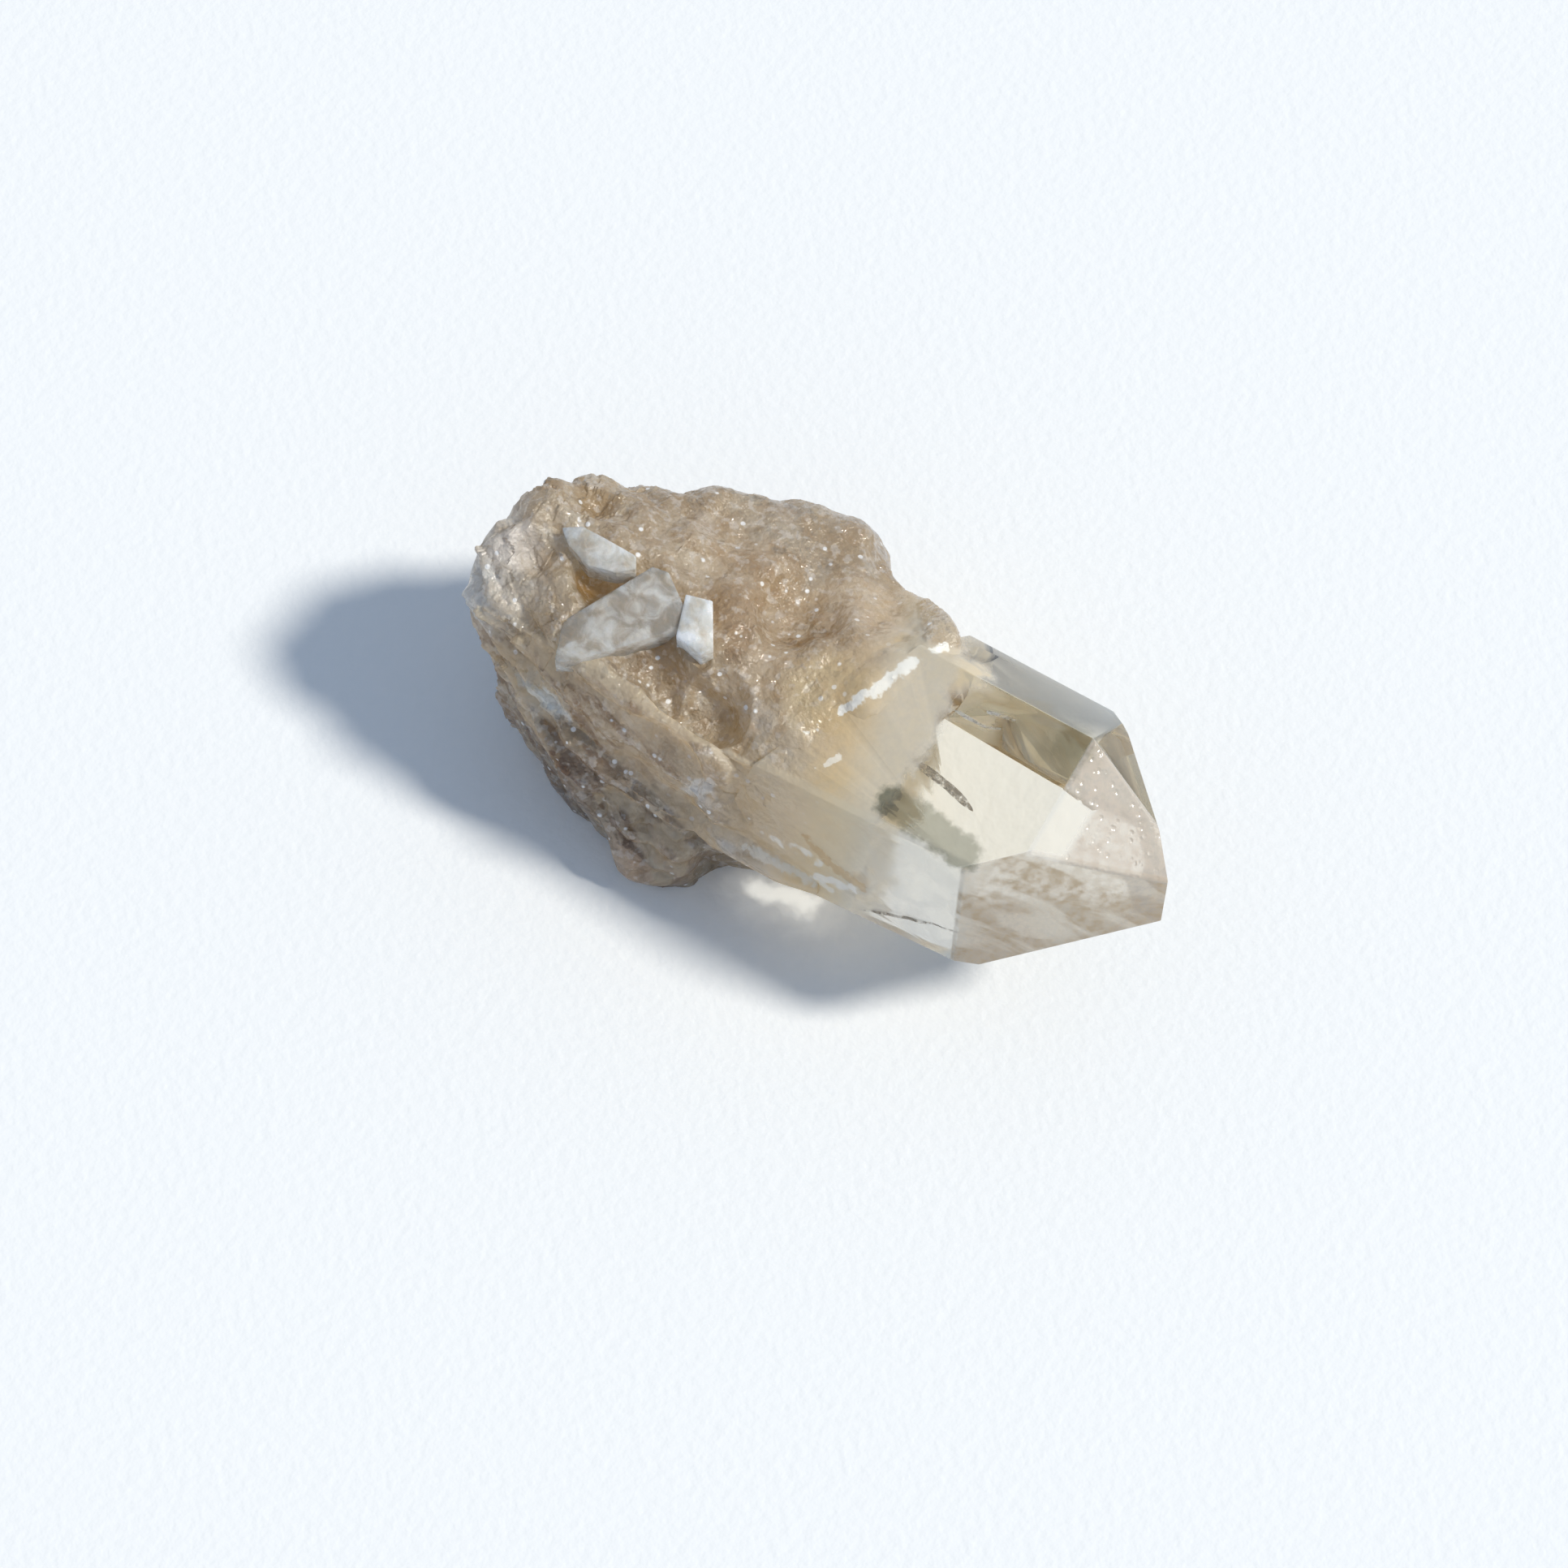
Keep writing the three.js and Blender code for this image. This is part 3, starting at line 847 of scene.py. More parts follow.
        # The front face's haze turns from cream near the base to pale blue-grey toward the tip; the
        # blue-grey is a painted reflection of the sky.
        cream_and_painted_sky = w.mix(
            w.beyond((1, 0, 0), 6.5, 11.0, puff), (1.0, 0.93, 0.76), (0.76, 0.81, 0.84)
        )
        thin = w.blend(w.beyond((1, 0, 0), 2.0, 13.0, puff), 0.7, 0.3)
        thin = w.times(thin, w.ramp(patches, 0.35, 0.6, 0.75, 1.1))
        front = (w.times(front, thin), cream_and_painted_sky, 0.75)
        if zone.clear is None:
            return [self.root_haze(w, clear, puff, grain), front]
        if zone.clear == 0.0:
            return [front]
        streak = w.noise(1.0, 4, 0.6, w.stretched((6.3, 3.2, -4.7), 0.16, 0.5))
        tan = w.mix(w.ramp(streak, 0.44, 0.6), (0.42, 0.30, 0.16), (0.70, 0.62, 0.50))
        frost = w.ramp(grain, 0.3, 0.7, 0.5, 0.85)
        pitted = self.pitted_area(w, planes)
        window = w.times(w.on_plane(*planes["tip_top"]), w.math("SUBTRACT", 1.0, pitted))
        return [
            front,
            (w.times(w.on_plane(*planes["tip_front"]), frost), tan, 0.3),
            (w.times(pitted, frost), (0.62, 0.53, 0.44), 0.25),
            # Painted light: a thin white haze that lightens the clear window of the upper tip face.
            (w.times(window, 0.22), (1, 1, 1), 0.1),
        ]

    def root_haze(self, w: Wiring, clear: Socket, puff: Socket, grain: Socket) -> tuple:
        """The haze over the root of the point: its share, its colour and its glow."""
        waver = w.math("SUBTRACT", puff, 1.2)
        lower_edge = w.beyond((-1, 0.1, 0), -8.4, -7.0, waver)
        root = w.math("MINIMUM", lower_edge, w.beyond((-1, -0.35, 0), -8.4, -7.0, waver))
        root = w.times(w.times(root, clear), w.ramp(grain, 0.3, 0.7, 0.75, 0.95))
        left = w.beyond((1, 0.3, 0), 2.0, 6.0, puff)
        return root, w.mix(left, (0.86, 0.64, 0.33), (0.86, 0.77, 0.61)), 0.5


@dataclass(frozen=True)
class WhiteQuartzFinish:
    """Cloudy white quartz of a blade."""

    name: str
    clearness: float
    ior: float = 1.544

    def build(self) -> bpy.types.Material:
        """Makes the material."""
        w = Wiring(self.name)
        cloud = w.noise(0.9, 3)
        frost = w.ramp(w.noise(0.8, 4, 0.6), 0.35, 0.7, 0.0, 1.0 - 0.6 * self.clearness)
        colour = w.mix(w.ramp(cloud, 0.3, 0.65), (0.84, 0.75, 0.62), (0.90, 0.87, 0.80))
        relief = w.bump(w.noise(2.6, 3), 0.12)
        inputs = {
            "Base Color": w.mix(frost, colour, (0.97, 0.98, 0.98)),
            "Roughness": w.blend(frost, 0.08, 0.35),
            "IOR": self.ior,
            "Transmission Weight": w.blend(frost, self.clearness, 0.3 * self.clearness),
            "Subsurface Weight": 1.0,
            "Subsurface Radius": (1.0, 0.95, 0.9),
            "Subsurface Scale": 0.6 * MM,
            "Normal": w.broken(w.cells(2.2), 0.4 * (1 - self.clearness), relief),
        }
        return w.finish(w.add("ShaderNodeBsdfPrincipled", inputs).outputs[0])


@dataclass(frozen=True)
class FlawFinish:
    """A thin flaw inside the crystal that catches or stops the light, ragged toward its edges."""

    name: str
    colour: tuple
    opacity: float

    def build(self) -> bpy.types.Material:
        """Makes the material."""
        w = Wiring(self.name)
        tears = w.noise(2.2, 3, 0.6)
        shaded = tuple(0.8 * part for part in self.colour)
        inputs = {
            "Base Color": w.mix(tears, self.colour, shaded),
            "Roughness": 0.5,
            "Alpha": w.ramp(tears, 0.32, 0.62, 0.0, self.opacity),
        }
        return w.finish(w.add("ShaderNodeBsdfPrincipled", inputs).outputs[0])


@dataclass(frozen=True)
class CloudFinish:
    """Milky golden quartz inside the crystal, thinning out toward the clear point."""

    name: str = "milky_cloud"

    def build(self) -> bpy.types.Material:
        """Makes the material."""
        w = Wiring(self.name)
        puff = w.noise(0.35, 3, 0.5)
        front = w.beyond((1, 0.1, 0), 4.6, 8.2, w.times(puff, 3.0))
        colour = w.mix(w.ramp(puff, 0.35, 0.65), (0.80, 0.63, 0.38), (0.95, 0.87, 0.70))
        inputs = {
            "Base Color": colour,
            "Roughness": 0.6,
            "Alpha": w.blend(front, 0.95, 0.0),
        }
        skin = w.add("ShaderNodeBsdfPrincipled", inputs).outputs[0]
        through = w.add("ShaderNodeBsdfTranslucent", {"Color": colour}).outputs[0]
        share = w.blend(front, 0.4, 0.0)
        return w.finish(w.add("ShaderNodeMixShader", {0: share, 1: skin, 2: through}).outputs[0])


@dataclass(frozen=True)
class TableFinish:
    """Pale, finely grained table top, with a patch of light painted on it below the crystal."""

    name: str = "pale_table"
    painted_caustic_at: tuple = ((-0.6, -8.1, 0), (2.8, -7.1, 0))

    def build(self) -> bpy.types.Material:
        """Makes the material."""
        w = Wiring(self.name)
        grain = w.noise(1.3, 2)
        inputs = {
            "Base Color": w.mix(grain, (0.81, 0.82, 0.825), (0.84, 0.845, 0.85)),
            "Roughness": 0.75,
            "Normal": w.bump(grain, 0.06),
            # Emission paints a faint patch of light on the table near the crystal.
            "Emission Color": (1.0, 0.97, 0.86),
            "Emission Strength": self.painted_caustic(w),
        }
        w.material.cycles.emission_sampling = "NONE"
        return w.finish(w.add("ShaderNodeBsdfPrincipled", inputs).outputs[0])

    def painted_caustic(self, w: Wiring) -> Socket:
        """A small patch of light painted on the table by emission, where light through the crystal
        would gather.
        """
        fray = w.times(w.math("SUBTRACT", w.noise(0.9, 2), 0.5), 1.7)
        core = w.streak(*self.painted_caustic_at, fray, width=1.3, core=0.1, share=0.34)
        rim = w.streak(*self.painted_caustic_at, fray, width=3.4, core=0.0, share=0.16)
        return w.math("ADD", core, rim)


@dataclass(frozen=True)
class Facets:
    """Cells of a facet pattern and their height in millimetres."""

    along: int
    around: int
    height: float


@dataclass(frozen=True)
class Knob:
    """A rounded knob, or a hollow where its height is negative."""

    at: tuple
    radius: float
    height: float


@dataclass(frozen=True)
class Face:
    """A side face of the prism: bearing of its normal about the axis and its closing-in in degrees,
    its distance from the shoulder and that of the tip face on it in millimetres."""

    bearing: float
    reach: float
    tip: float
    taper: float


@dataclass(frozen=True)
class Chip:
    """A broken face: its direction in the prism's frame and its distance from the shoulder."""

    normal: tuple
    reach: float


@dataclass
class Prism:
    """The clear six-sided point. Its own frame has z along the crystal axis toward the tip and y
    out of the top face, and its zero is the shoulder corner."""

    shoulder: tuple = (16.9, -4.05, 21.5)
    rise: float = 6.9
    roll: float = 15.0
    tip_slope: float = 51.8
    wear: float = 0.09
    inset: float = 0.0
    faces: tuple = (
        Face(30, 7.06, 5.4, 0),
        Face(90, 0, 0, 0),
        Face(150, 2.34, 0, 2),
        Face(210, 10.26, 7.03, 4),
        Face(270, 14.2, 11.6, 0),
        Face(330, 11.9, 8.66, 0),
    )
    chips: tuple = (
        Chip((0.42, 0.05, -0.9), 15.4),
        Chip((0.1, -0.62, 0.78), 11.35),
        Chip((0.55, 0.55, 0.63), 6.25),
        Chip((0.86, -0.12, 0.5), 9.25),
    )

    def frame(self) -> np.ndarray:
        """The prism's x, y and z directions as the columns of a matrix."""
        rise, roll = math.radians(self.rise), math.radians(self.roll)
        axis = np.array([math.cos(rise), 0, math.sin(rise)])
        level, up = np.array([0, 1.0, 0]), np.cross(axis, (0, 1, 0))
        side = level * math.cos(roll) + np.cross(axis, level) * math.sin(roll)
        top = up * math.cos(roll) + np.cross(axis, up) * math.sin(roll)
        return np.stack([side, top, axis], axis=1)

    def direction(self, bearing: float, lean: float) -> tuple:
        """The direction with a bearing about the axis and a lean toward the tip, in degrees."""
        turn, rise = math.radians(bearing), math.radians(lean)
        flat = math.cos(rise)
        return math.cos(turn) * flat, math.sin(turn) * flat, math.sin(rise)

    def planes(self) -> tuple[np.ndarray, np.ndarray]:
        """Unit normals of all planes in the prism's frame, and their distances."""
        rows = [(*np.array(c.normal) / np.linalg.norm(c.normal), c.reach) for c in self.chips]
        for face in self.faces:
            for lean, reach in ((face.taper, face.reach), (90 - self.tip_slope, face.tip)):
                rows.append((*self.direction(face.bearing, lean), reach))
        table = np.array(rows)
        return table[:, :3], table[:, 3] - self.inset

    def plane_of(self, face: Face, tip: bool) -> tuple[tuple, float]:
        """Normal and distance of a side face, or of the tip face on it, in the CAD frame."""
        lean, reach = (90 - self.tip_slope, face.tip) if tip else (face.taper, face.reach)
        normal = self.frame() @ np.array(self.direction(face.bearing, lean))
        return tuple(normal), reach + float(normal @ np.array(self.shoulder))

    def corners(self) -> np.ndarray:
        """Points where three planes meet and that no plane cuts off, in the CAD frame.

        Returns:
            Corner points, shaped (n, 3).
        """
        normals, reach = self.planes()
        threes = np.array(list(combinations(range(len(reach)), 3)))
        threes = threes[np.abs(np.linalg.det(normals[threes])) > 1e-6]
        points = np.linalg.solve(normals[threes], reach[threes][..., None])[..., 0]
        inside = (points @ normals.T <= reach + 1e-6).all(axis=1)
        points = np.unique(points[inside].round(5), axis=0)
        return points @ self.frame().T + np.array(self.shoulder)

    def build(self) -> Piece:
        """Makes the prism with its edges slightly worn."""
        return hull_object("prism", self.corners(), self.wear)


@dataclass
class RoughBase:
    """The lumpy base: loops over lengthwise rails, raised by facets, breaks, knobs and flutes.
    Each rail is a row of points from the left end to inside the prism."""

    side_offset: float = 1.5
    rows: int = 300
    columns: int = 250
    inset: float = 0.0
    facets: tuple = (Facets(12, 15, 0.85), Facets(23, 31, 0.4))
    end_fade: float = 0.08
    rails: tuple = (
        ((-24.6, -3.0, 12.2), (-23.1, -3.2, 8.2), (-20.6, -4.2, 3.2), (-17, -5.8, -0.6),
         (-13, -7.0, -1), (-9, -8.4, -1), (-5, -7.4, -1), (-2.2, -4.4, -1), (2.4, -2.4, -0.4),
         (6, -1, 3)),
        ((-24.6, -3.8, 12.5), (-23.2, -4.7, 10.0), (-20.6, -6.2, 6.8), (-17, -7.9, 4.2),
         (-13, -9.2, 2.8), (-9, -10.3, 1.2), (-5, -9.2, 0.8), (-3.0, -7.0, 1.5), (1.6, -3.6, 2.2),
         (6, -2.5, 4.4)),
        ((-24.7, -4.2, 13.2), (-23.2, -5.1, 12.5), (-20.4, -6.9, 11.2), (-17, -8.4, 9.6),
         (-13, -9.6, 7.0), (-9, -10.6, 4.2), (-5, -9.4, 4.0), (-3.0, -7.8, 4.6), (1.4, -4.6, 5.2),
         (6, -4, 6.8)),
        ((-24.7, -4.3, 14.4), (-23.3, -5.2, 14.3), (-20.4, -6.8, 14.0), (-17, -8.0, 13.2),
         (-13, -9.0, 11.6), (-9, -9.1, 10.4), (-5, -8.7, 9.8), (-2.2, -8.4, 9.6),
         (2.4, -7.2, 9.6), (6, -5.4, 9.6)),
        ((-24.7, -4.0, 15.6), (-23.3, -4.9, 16.4), (-20.4, -5.8, 17.0), (-17, -6.0, 17.5),
         (-13, -6.4, 17.6), (-9, -6.4, 17.6), (-5, -6.6, 17.3), (-2.0, -6.9, 16.8),
         (2.2, -5.6, 15.0), (6, -4.4, 13.4)),
        ((-24.7, -3.5, 16.6), (-23.4, -4.0, 17.8), (-20.4, -4.7, 18.3), (-17, -4.6, 18.4),
         (-13, -4.6, 18.2), (-9, -4.6, 17.8), (-5, -4.8, 17.8), (-1.6, -5.2, 18.4),
         (2, -4.0, 17.6), (6, -2.6, 16.2)),
        ((-24.7, -2.6, 17.6), (-23.4, -2.0, 19.4), (-20.4, -2.0, 19.8), (-17, -1.8, 19.4),
         (-13, -1.8, 19.4), (-9, -1.8, 19.4), (-5, -2.0, 19.2), (-1.2, -1.8, 19.6),
         (2.0, -1.0, 19.6), (6, 0, 17.6)),
        ((-24.7, -1.8, 18.0), (-23.2, 0.4, 20.0), (-20.4, 1.2, 20.6), (-17, 1.4, 20.4),
         (-13, 1.8, 20.0), (-9, 2.2, 19.6), (-5, 2.6, 19.0), (-1.0, 3.0, 20.4), (3.4, 3.6, 21.6),
         (7, 3, 18.6)),
        ((-24.7, -1.2, 17.6), (-23.0, 2.0, 18.8), (-20.4, 4.0, 18.9), (-17, 5.2, 18.6),
         (-13, 6.2, 18.2), (-9, 7.6, 17.6), (-5, 8.0, 17.2), (-0.6, 7.4, 18.8), (4.4, 6.8, 21.2),
         (7, 6, 17.4)),
        ((-24.6, -1.0, 16.4), (-22.8, 2.9, 17.0), (-20.4, 6.6, 16.6), (-17, 8.6, 16.0),
         (-13, 10.8, 15.6), (-9, 12.4, 15.2), (-5, 12.9, 14.4), (-1.2, 11.2, 14.6),
         (3.4, 9.4, 17.6), (7, 7.8, 14)),
        ((-24.6, -1.3, 14.5), (-22.7, 3.0, 13.2), (-20.2, 7.2, 11.8), (-17, 9.4, 10.6),
         (-13, 11.7, 10.2), (-9, 13.6, 10.0), (-5, 14.0, 9.4), (-1.2, 12.0, 9.4), (3, 10.0, 10.4),
         (7, 7.6, 9.5)),
        ((-24.6, -1.9, 12.8), (-22.9, 0.8, 8.6), (-20.4, 4.2, 3.4), (-17, 7.0, -0.4),
         (-13, 8.8, -0.6), (-9, 9.8, -0.8), (-5, 9.4, -0.8), (-1.4, 8.4, -0.6), (2.8, 6.6, 0.2),
         (6, 4.5, 4)),
    )
    knobs: tuple = (
        Knob((-16.4, -1.2, 19.8), 1.5, -1.9),
        Knob((-20.9, -1.9, 19.8), 1.3, -1.3),
        Knob((-20.0, 3.4, 19.6), 1.5, -0.9),
        Knob((-5.6, -4.7, 18.0), 1.6, -0.8),
        Knob((-4.8, 4.4, 18.6), 2.8, -0.9),
        Knob((-16.2, -8.2, 12.6), 1.6, -0.7),
        Knob((-22.8, 1.6, 20.3), 1.2, 0.7),
        Knob((-23.2, -2.4, 19.4), 1.2, 0.6),
        Knob((-21.2, 6.2, 17.8), 1.6, 0.6),
        Knob((-6.6, 12.6, 15.2), 2.2, 0.6),
        Knob((-7.6, -10.0, 3.2), 2.6, 0.5),
        Knob((-10.4, -9.8, 7.8), 1.5, -0.7),
        Knob((-7.2, -9.6, 7.4), 1.6, -0.9),
        Knob((-4.2, -8.8, 7.2), 1.6, -0.9),
        Knob((-7.6, -0.4, 19.6), 1.6, 0.6),
    )
    calm_at: tuple = (0.62, 0.7)
    calm_spread: tuple = (0.2, 0.14)
    calm_share: float = 0.55
    flutes: tuple = (0.13, 0.35)
    flute_count: int = 5
    flute_depth: float = 0.32
    groove_count: int = 11
    groove_depth: float = 0.34
    ledge_at: float = 0.336
    ledge_height: float = 0.16
    scar: Knob = Knob((-5.4, -3.9, 18.2), 2.5, 0.3)

    def smooth_grid(self) -> tuple[np.ndarray, np.ndarray, np.ndarray]:
        """The base without its relief: loops through the rails' points.

        Returns:
            The points shaped (rows, columns, 3), the share of the length and of the loop.
        """
        along = np.linspace(0, 1, self.rows)
        around = np.arange(self.columns) / self.columns
        rails = catmull_rom(np.array(self.rails, dtype=float), along, closed=False)
        loops = catmull_rom(rails.transpose(1, 0, 2), around, closed=True)
        return loops, *np.meshgrid(along, around, indexing="ij")

    def outward(self, grid: np.ndarray) -> np.ndarray:
        """Unit normals of the grid, from the neighbours on each side."""
        crosswise = np.roll(grid, -1, axis=1) - np.roll(grid, 1, axis=1)
        lengthwise = np.concatenate([grid[1:], grid[-1:]]) - np.concatenate([grid[:1], grid[:-1]])
        normal = np.cross(lengthwise, crosswise)
        return normal / np.linalg.norm(normal, axis=-1, keepdims=True)

    def relief(self, grid: np.ndarray, along: np.ndarray, around: np.ndarray) -> np.ndarray:
        """Height over the smooth base: facets, calmer on the back of the crown and on the flank,
        plus rounded knobs, steeper hollows, flutes, grooves, a ledge, a round scar and breaks.

        Args:
            grid: Points of the smooth base.
            along: Share of the length at each point.
            around: Share of the loop at each point.

        Returns:
            The height at each point, in millimetres.
        """
        away = ((along - self.calm_at[0]) / self.calm_spread[0]) ** 2
        away += ((around - self.calm_at[1]) / self.calm_spread[1]) ** 2
        strength = np.minimum(1, along / self.end_fade) * (1 - self.calm_share * np.exp(-away))
        across = np.clip((around - self.flutes[0]) / (self.flutes[1] - self.flutes[0]), 0, 1)
        flank = np.sin(across * math.pi)
        calmer = strength * (1 - 0.5 * flank)
        height = sum(calmer * facets(along, around, f, n + 1) for n, f in enumerate(self.facets))
        for knob in self.knobs:
            distance = np.linalg.norm(grid - np.array(knob.at), axis=-1) / knob.radius
            height += knob.height * np.exp(-(distance ** (4 if knob.height < 0 else 2)))
        wave = np.sin((across * self.flute_count + along) * 2 * math.pi)
        height += strength * self.flute_depth * wave * flank
        height += self.grooves(grid, across, flank * strength)
        edge = np.exp(-(((around - self.ledge_at) / 0.009) ** 2))
        between = smoothstep(0.12, 0.25, along) * smoothstep(0.85, 0.7, along)
        height += self.ledge_height * edge * between
        ring = (np.linalg.norm(grid - np.array(self.scar.at), axis=-1) - self.scar.radius) / 0.3
        height += self.scar.height * np.exp(-ring * ring)
        return height + self.breaks(grid, along, strength)

    def grooves(self, grid: np.ndarray, across: np.ndarray, strength: np.ndarray) -> np.ndarray:
        """Narrow broken grooves along the flank: hollow where a slow wave across it passes zero."""
        bend = 0.55 * billows(grid * (0.25, 1, 1), 2.2, 41)
        wave = np.sin((across * self.groove_count + bend) * math.pi)
        cut = smoothstep(-0.35, 0.3, billows(grid * (0.4, 1, 1), 1.6, 47))
        return -self.groove_depth * strength * cut * np.exp(-((wave / 0.3) ** 2))

    def breaks(self, grid: np.ndarray, along: np.ndarray, strength: np.ndarray) -> np.ndarray:
        """Small breaks in two sizes, stronger toward the left end."""
        left = 1 - smoothstep(0.2, 0.5, along)
        coarse = broken_plates(grid, 1.5, 11) * (0.08 + 0.18 * left)
        fine = broken_plates(grid, 0.62, 23) * (0.04 + 0.06 * left)
        return strength * (coarse + fine)

    def build(self) -> Piece:
        """Makes the closed base."""
        grid, along, around = self.smooth_grid()
        height = self.relief(grid, along, around) - self.inset
        raised = grid + self.outward(grid) * height[..., None]
        ends = raised[[0, -1]].mean(axis=1)
        points = np.concatenate([raised.reshape(-1, 3), ends]) - (0, self.side_offset, 0)
        return new_object("base", points, tube_faces(self.rows, self.columns))


@dataclass(frozen=True)
class Plate:
    """A tabular blade: the outline of its upper face, its thickness and how clear it is."""

    name: str
    thickness: float
    outline: tuple
    clearness: float = 0.5

    def corners(self) -> np.ndarray:
        """The outline and the same outline lowered by the thickness."""
        upper = np.array(self.outline, dtype=float)
        return np.concatenate([upper, upper - (0, 0, self.thickness)])


VEIL = FlawFinish("white_veil", (0.95, 0.94, 0.90), 0.95)


@dataclass(frozen=True)
class Flaw:
    """A flat, tapering flaw inside the crystal: its path, the direction it is wide in, half its
    width, half its thickness and its finish."""

    name: str
    path: tuple
    across: tuple
    width: float
    thickness: float
    finish: FlawFinish
    rows: int = 60
    columns: int = 20

    def build(self) -> Piece:
        """Makes the flaw: an ellipse carried along the path, which narrows to both ends as the
        root of a half sine wave and is crinkled along its width."""
        share = np.linspace(0, 1, self.rows)
        line = catmull_rom(np.array(self.path, dtype=float), share, closed=False)
        tangent = np.gradient(line, axis=0)
        wide = np.array(self.across) / np.linalg.norm(self.across)
        thin = np.cross(tangent, wide)
        thin /= np.linalg.norm(thin, axis=-1, keepdims=True)
        turn = np.linspace(0, 2 * math.pi, self.columns, endpoint=False)[None, :, None]
        taper = (0.04 + 0.96 * np.sqrt(np.sin(share * math.pi).clip(0)))[:, None, None]
        reach = wide * self.width * np.cos(turn) * taper
        crinkle = 0.12 * billows(line[:, None] + 2 * reach, 0.8, 5)[..., None]
        lift = self.thickness * np.sin(turn) * taper + crinkle
        points = line[:, None] + reach + thin[:, None] * lift
        points = np.concatenate([points.reshape(-1, 3), points[[0, -1]].mean(axis=1)])
        return new_object(self.name, points, tube_faces(self.rows, self.columns))


@dataclass(frozen=True)
class Cloud:
    """A milky cloud inside the crystal: a ball stretched to three radii, with billows on it."""

    centre: tuple
    radii: tuple
    billow: float
    rows: int = 60
    columns: int = 90

    def build(self) -> Piece:
        """Makes the cloud: centre + radii x direction x (1 + billow x bumps along the direction)."""
        polar = np.linspace(0, math.pi, self.rows + 2)[1:-1, None]
        turn = np.linspace(0, 2 * math.pi, self.columns, endpoint=False)[None, :]
        ring = np.sin(polar)
        parts = [np.cos(polar) + 0 * turn, ring * np.sin(turn), ring * np.cos(turn)]
        away = np.stack(parts, axis=-1)
        ends = np.array([[1.0, 0, 0], [-1.0, 0, 0]])
        away = np.concatenate([away.reshape(-1, 3), ends])
        bumps = 0.65 * billows(away, 0.45, 3) + 0.35 * billows(away, 0.2, 9)
        swell = (1 + self.billow * bumps)[:, None]
        points = np.array(self.centre) + away * np.array(self.radii) * swell
        return new_object("cloud", points, tube_faces(self.rows, self.columns))


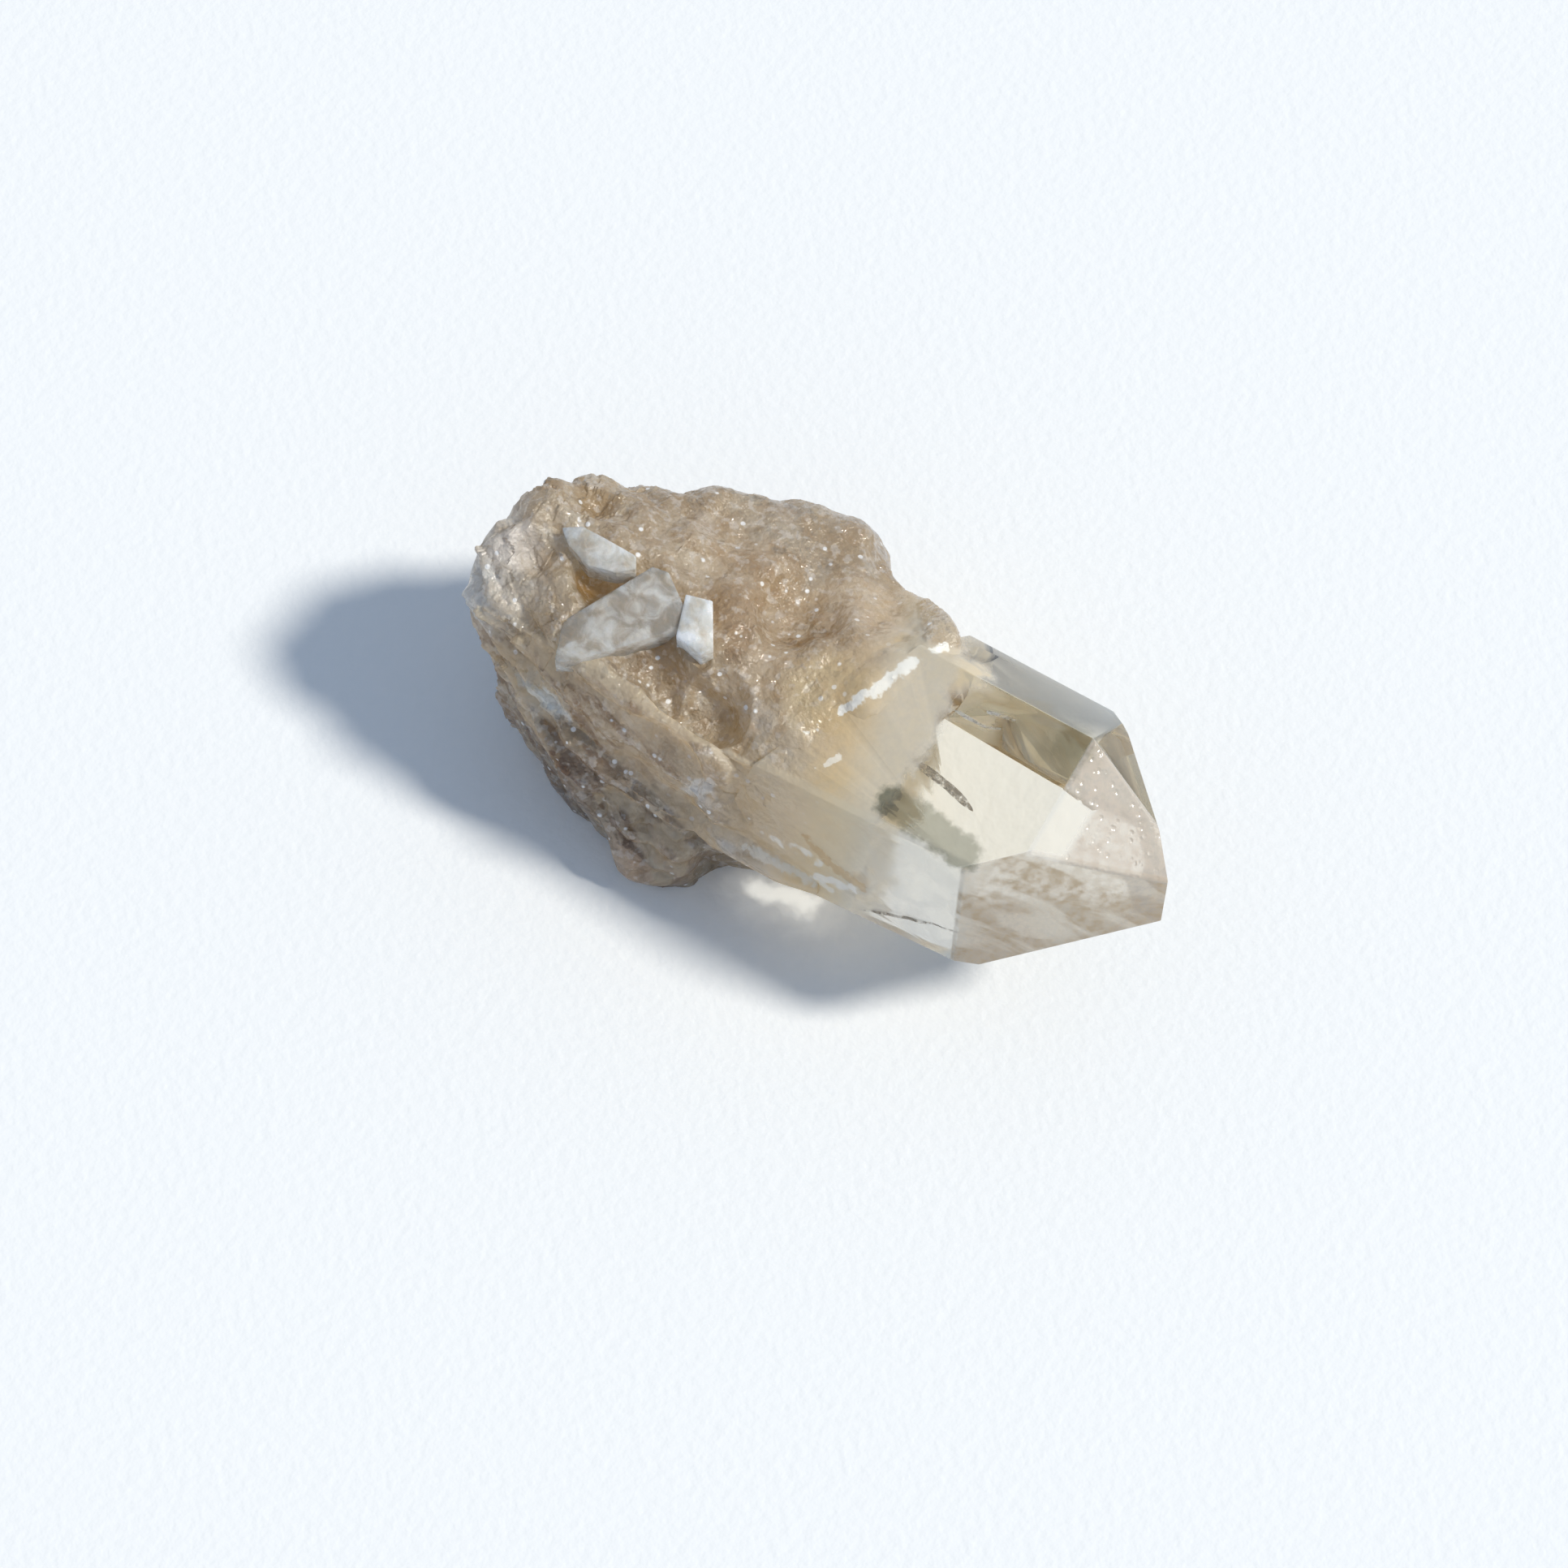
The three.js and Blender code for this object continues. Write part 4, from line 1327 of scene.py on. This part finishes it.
@dataclass
class Citrine:
    """The whole specimen."""

    prism: Prism = field(default_factory=Prism)
    base: RoughBase = field(default_factory=RoughBase)
    crease: float = 30.0
    blades: tuple = (
        Plate("blade_long", 1.8, (
            (-15.9, -8.4, 18.6), (-14.6, -7.8, 19.0), (-10.1, -3.1, 20.6), (-9.8, -2.1, 20.9),
            (-12.5, -0.4, 21.5), (-13.6, -0.6, 21.4), (-15.3, -4.0, 20.4), (-16.8, -6.1, 19.3)),
            0.75),
        Plate("blade_small", 1.8, (
            (-20.1, -1.3, 20.9), (-18.9, -0.7, 21.4), (-17.2, -0.6, 21.4), (-14.9, -0.5, 21.3),
            (-14.5, -1.2, 21.0), (-15.5, -2.0, 20.8), (-17.3, -2.5, 20.6), (-19.1, -2.0, 20.7)),
            0.55),
        Plate("blade_short", 2.4, (
            (-10.8, -1.0, 21.3), (-9.0, -0.6, 21.7), (-7.3, -3.1, 21.2), (-7.8, -3.8, 20.8),
            (-9.8, -3.6, 20.8)), 0.35),
    )
    clouds: tuple = (
        Cloud((-11.5, 0.3, 9.6), (10.0, 7.0, 7.4), 0.16),
        Cloud((-1.0, 1.0, 12.0), (7.0, 7.5, 9.0), 0.12),
    )
    flaws: tuple = (
        Flaw("wisp_long",
             ((7.0, 1.3, 21.3), (8.6, 1.5, 21.5), (10.0, 1.5, 21.7), (11.0, 1.9, 21.8)),
             (-0.4, 0.5, -0.77), 0.32, 0.04, VEIL),
        Flaw("wisp_short", ((9.6, 2.3, 21.9), (10.6, 2.6, 22.0), (11.5, 2.8, 22.1)),
             (-0.3, 0.6, -0.75), 0.28, 0.04, VEIL),
        Flaw("needle",
             ((7.2, -2.1, 19.6), (8.4, -2.2, 19.8), (10.4, -2.6, 20.0), (12.2, -3.1, 20.1)),
             (0.25, 0.85, -0.45), 0.38, 0.2, FlawFinish("needle_brown", (0.55, 0.47, 0.36), 0.85)),
        Flaw("front_crack",
             ((7.6, -9.3, 10.6), (9.6, -9.0, 12.0), (11.4, -8.7, 12.9), (13.2, -8.4, 13.7),
              (14.9, -8.2, 14.2)), (0.03, 0.9, -0.42), 0.3, 0.06,
             FlawFinish("crack_brown", (0.55, 0.45, 0.34), 0.75)),
    )
    rim: Plate = Plate("rim", 1.0, (
        (-4.6, -9.7, 9.9), (-1.6, -10.4, 10.2), (2.2, -10.3, 10.5), (5, -9.7, 10.8),
        (4.4, -8.5, 11.8), (0.2, -8.5, 12.0), (-3.8, -8.5, 11.6)))

    def dress(self, piece: Piece, name: str, material: bpy.types.Material) -> None:
        """Names a finished piece, gives it its material and ties it to the CAD model."""
        piece.name = piece.data.name = name
        piece.data.materials.clear()
        piece.data.materials.append(material)
        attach(piece, BODY)
        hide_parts(NODE)
        log.info("%s: %d faces", name, len(piece.data.polygons))

    def floor_block(self) -> Piece:
        """A block below the table plane, which cuts the sole flat."""
        signs = np.array(list(product((-40, 40), (-30, 30), (-12, 0))), dtype=float)
        return hull_object("below", signs, 0)

    def body(self) -> Piece:
        """The glassy body: base, prism and rim as one closed surface, cut flat at the table."""
        body = self.base.build()
        combine(body, self.prism.build(), Cut.JOIN)
        combine(body, hull_object("rim", self.rim.corners(), 0.15), Cut.JOIN)
        combine(body, self.floor_block(), Cut.TAKE)
        shade(body, self.crease)
        return body

    def cloud(self) -> Piece:
        """The milky cloud, kept below the surface of the body."""
        space = RoughBase(rows=90, columns=80, inset=1.0).build()
        combine(space, Prism(inset=0.6, wear=0).build(), Cut.JOIN)
        cloud, *others = [part.build() for part in self.clouds]
        for other in others:
            combine(cloud, other, Cut.JOIN)
        combine(cloud, space, Cut.KEEP)
        shade(cloud, 60)
        return cloud

    def build(self) -> None:
        """Makes and dresses every piece."""
        named = dict(zip(("back", "top", "front"), self.prism.faces))
        planes = {name: self.prism.plane_of(face, tip=False) for name, face in named.items()}
        for name, face in named.items():
            planes[f"tip_{name}"] = self.prism.plane_of(face, tip=True)
        self.dress(self.body(), "crystal_body", CitrineFinish().build(planes))
        self.dress(self.cloud(), "milky_cloud", CloudFinish().build())
        for blade in self.blades:
            piece = hull_object(blade.name, blade.corners(), 0.08)
            shade(piece, self.crease)
            self.dress(piece, blade.name, WhiteQuartzFinish(blade.name, blade.clearness).build())
        finishes = {flaw.finish: flaw.finish.build() for flaw in self.flaws}
        for flaw in self.flaws:
            piece = flaw.build()
            shade(piece, 60)
            self.dress(piece, flaw.name, finishes[flaw.finish])


@dataclass
class Studio:
    """Pale floor, soft light and the camera, in metres."""

    floor_side: float = 1.6
    camera_at: tuple = (0.06471, -0.10390, 0.290)
    looks_at: tuple = (-0.00343, -0.00089, 0.0)
    focal_pixels: float = 5800.0
    sensor: float = 36.0
    light_from: tuple = (0.7566, 0.3898, 1.0)
    light_angle: float = 9.0
    light_power: float = 3.2
    sky: tuple = (0.32, 0.40, 0.52, 1.0)

    def floor(self) -> None:
        """The table top."""
        half = self.floor_side / 2 / MM
        corners = half * np.array([(-1.0, -1, 0), (1, -1, 0), (1, 1, 0), (-1, 1, 0)])
        top = new_object("table_top", corners, [[0, 1, 2, 3]])
        top.data.materials.append(TableFinish().build())
        top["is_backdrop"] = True

    def light(self) -> None:
        """A soft key light and an even sky."""
        data = bpy.data.lights.new("key", "SUN")
        data.energy, data.angle = self.light_power, math.radians(self.light_angle)
        data.color = (1.0, 0.96, 0.87)
        key = bpy.data.objects.new("key", data)
        key.rotation_mode = "QUATERNION"
        key.rotation_quaternion = Vector(self.light_from).to_track_quat("Z", "Y")
        bpy.context.scene.collection.objects.link(key)
        world = bpy.data.worlds.new("sky")
        world.use_nodes = True
        world.node_tree.nodes["Background"].inputs["Color"].default_value = self.sky
        bpy.context.scene.world = world

    def camera(self) -> None:
        """The camera at the photograph's viewing angle."""
        data = bpy.data.cameras.new("camera")
        data.sensor_width = self.sensor
        data.lens = self.sensor * self.focal_pixels / IMAGE_SIDE
        data.clip_start, data.clip_end = 0.01, 10.0
        camera = bpy.data.objects.new("camera", data)
        camera.location = self.camera_at
        camera.rotation_mode = "QUATERNION"
        towards = Vector(self.looks_at) - Vector(self.camera_at)
        camera.rotation_quaternion = towards.to_track_quat("-Z", "Y")
        bpy.context.scene.collection.objects.link(camera)
        bpy.context.scene.camera = camera

    def build(self) -> None:
        """Makes the floor, the lights and the camera, and sets how light is followed."""
        self.floor()
        self.light()
        self.camera()
        scene = bpy.context.scene
        scene.view_settings.view_transform = "Standard"
        scene.cycles.max_bounces = 12
        scene.cycles.transmission_bounces = 12
        scene.cycles.glossy_bounces = 8
        scene.cycles.diffuse_bounces = 3


def main() -> None:
    """Builds the studio and the crystal."""
    logging.basicConfig(level=logging.INFO, format="%(name)s: %(message)s")
    cad_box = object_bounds()
    Studio().build()
    Citrine().build()
    boxes = {"cad": cad_box, "visual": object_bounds()}
    {name: [list(corner) for corner in box] for name, box in boxes.items()}


if __name__ == "__main__":
    main()
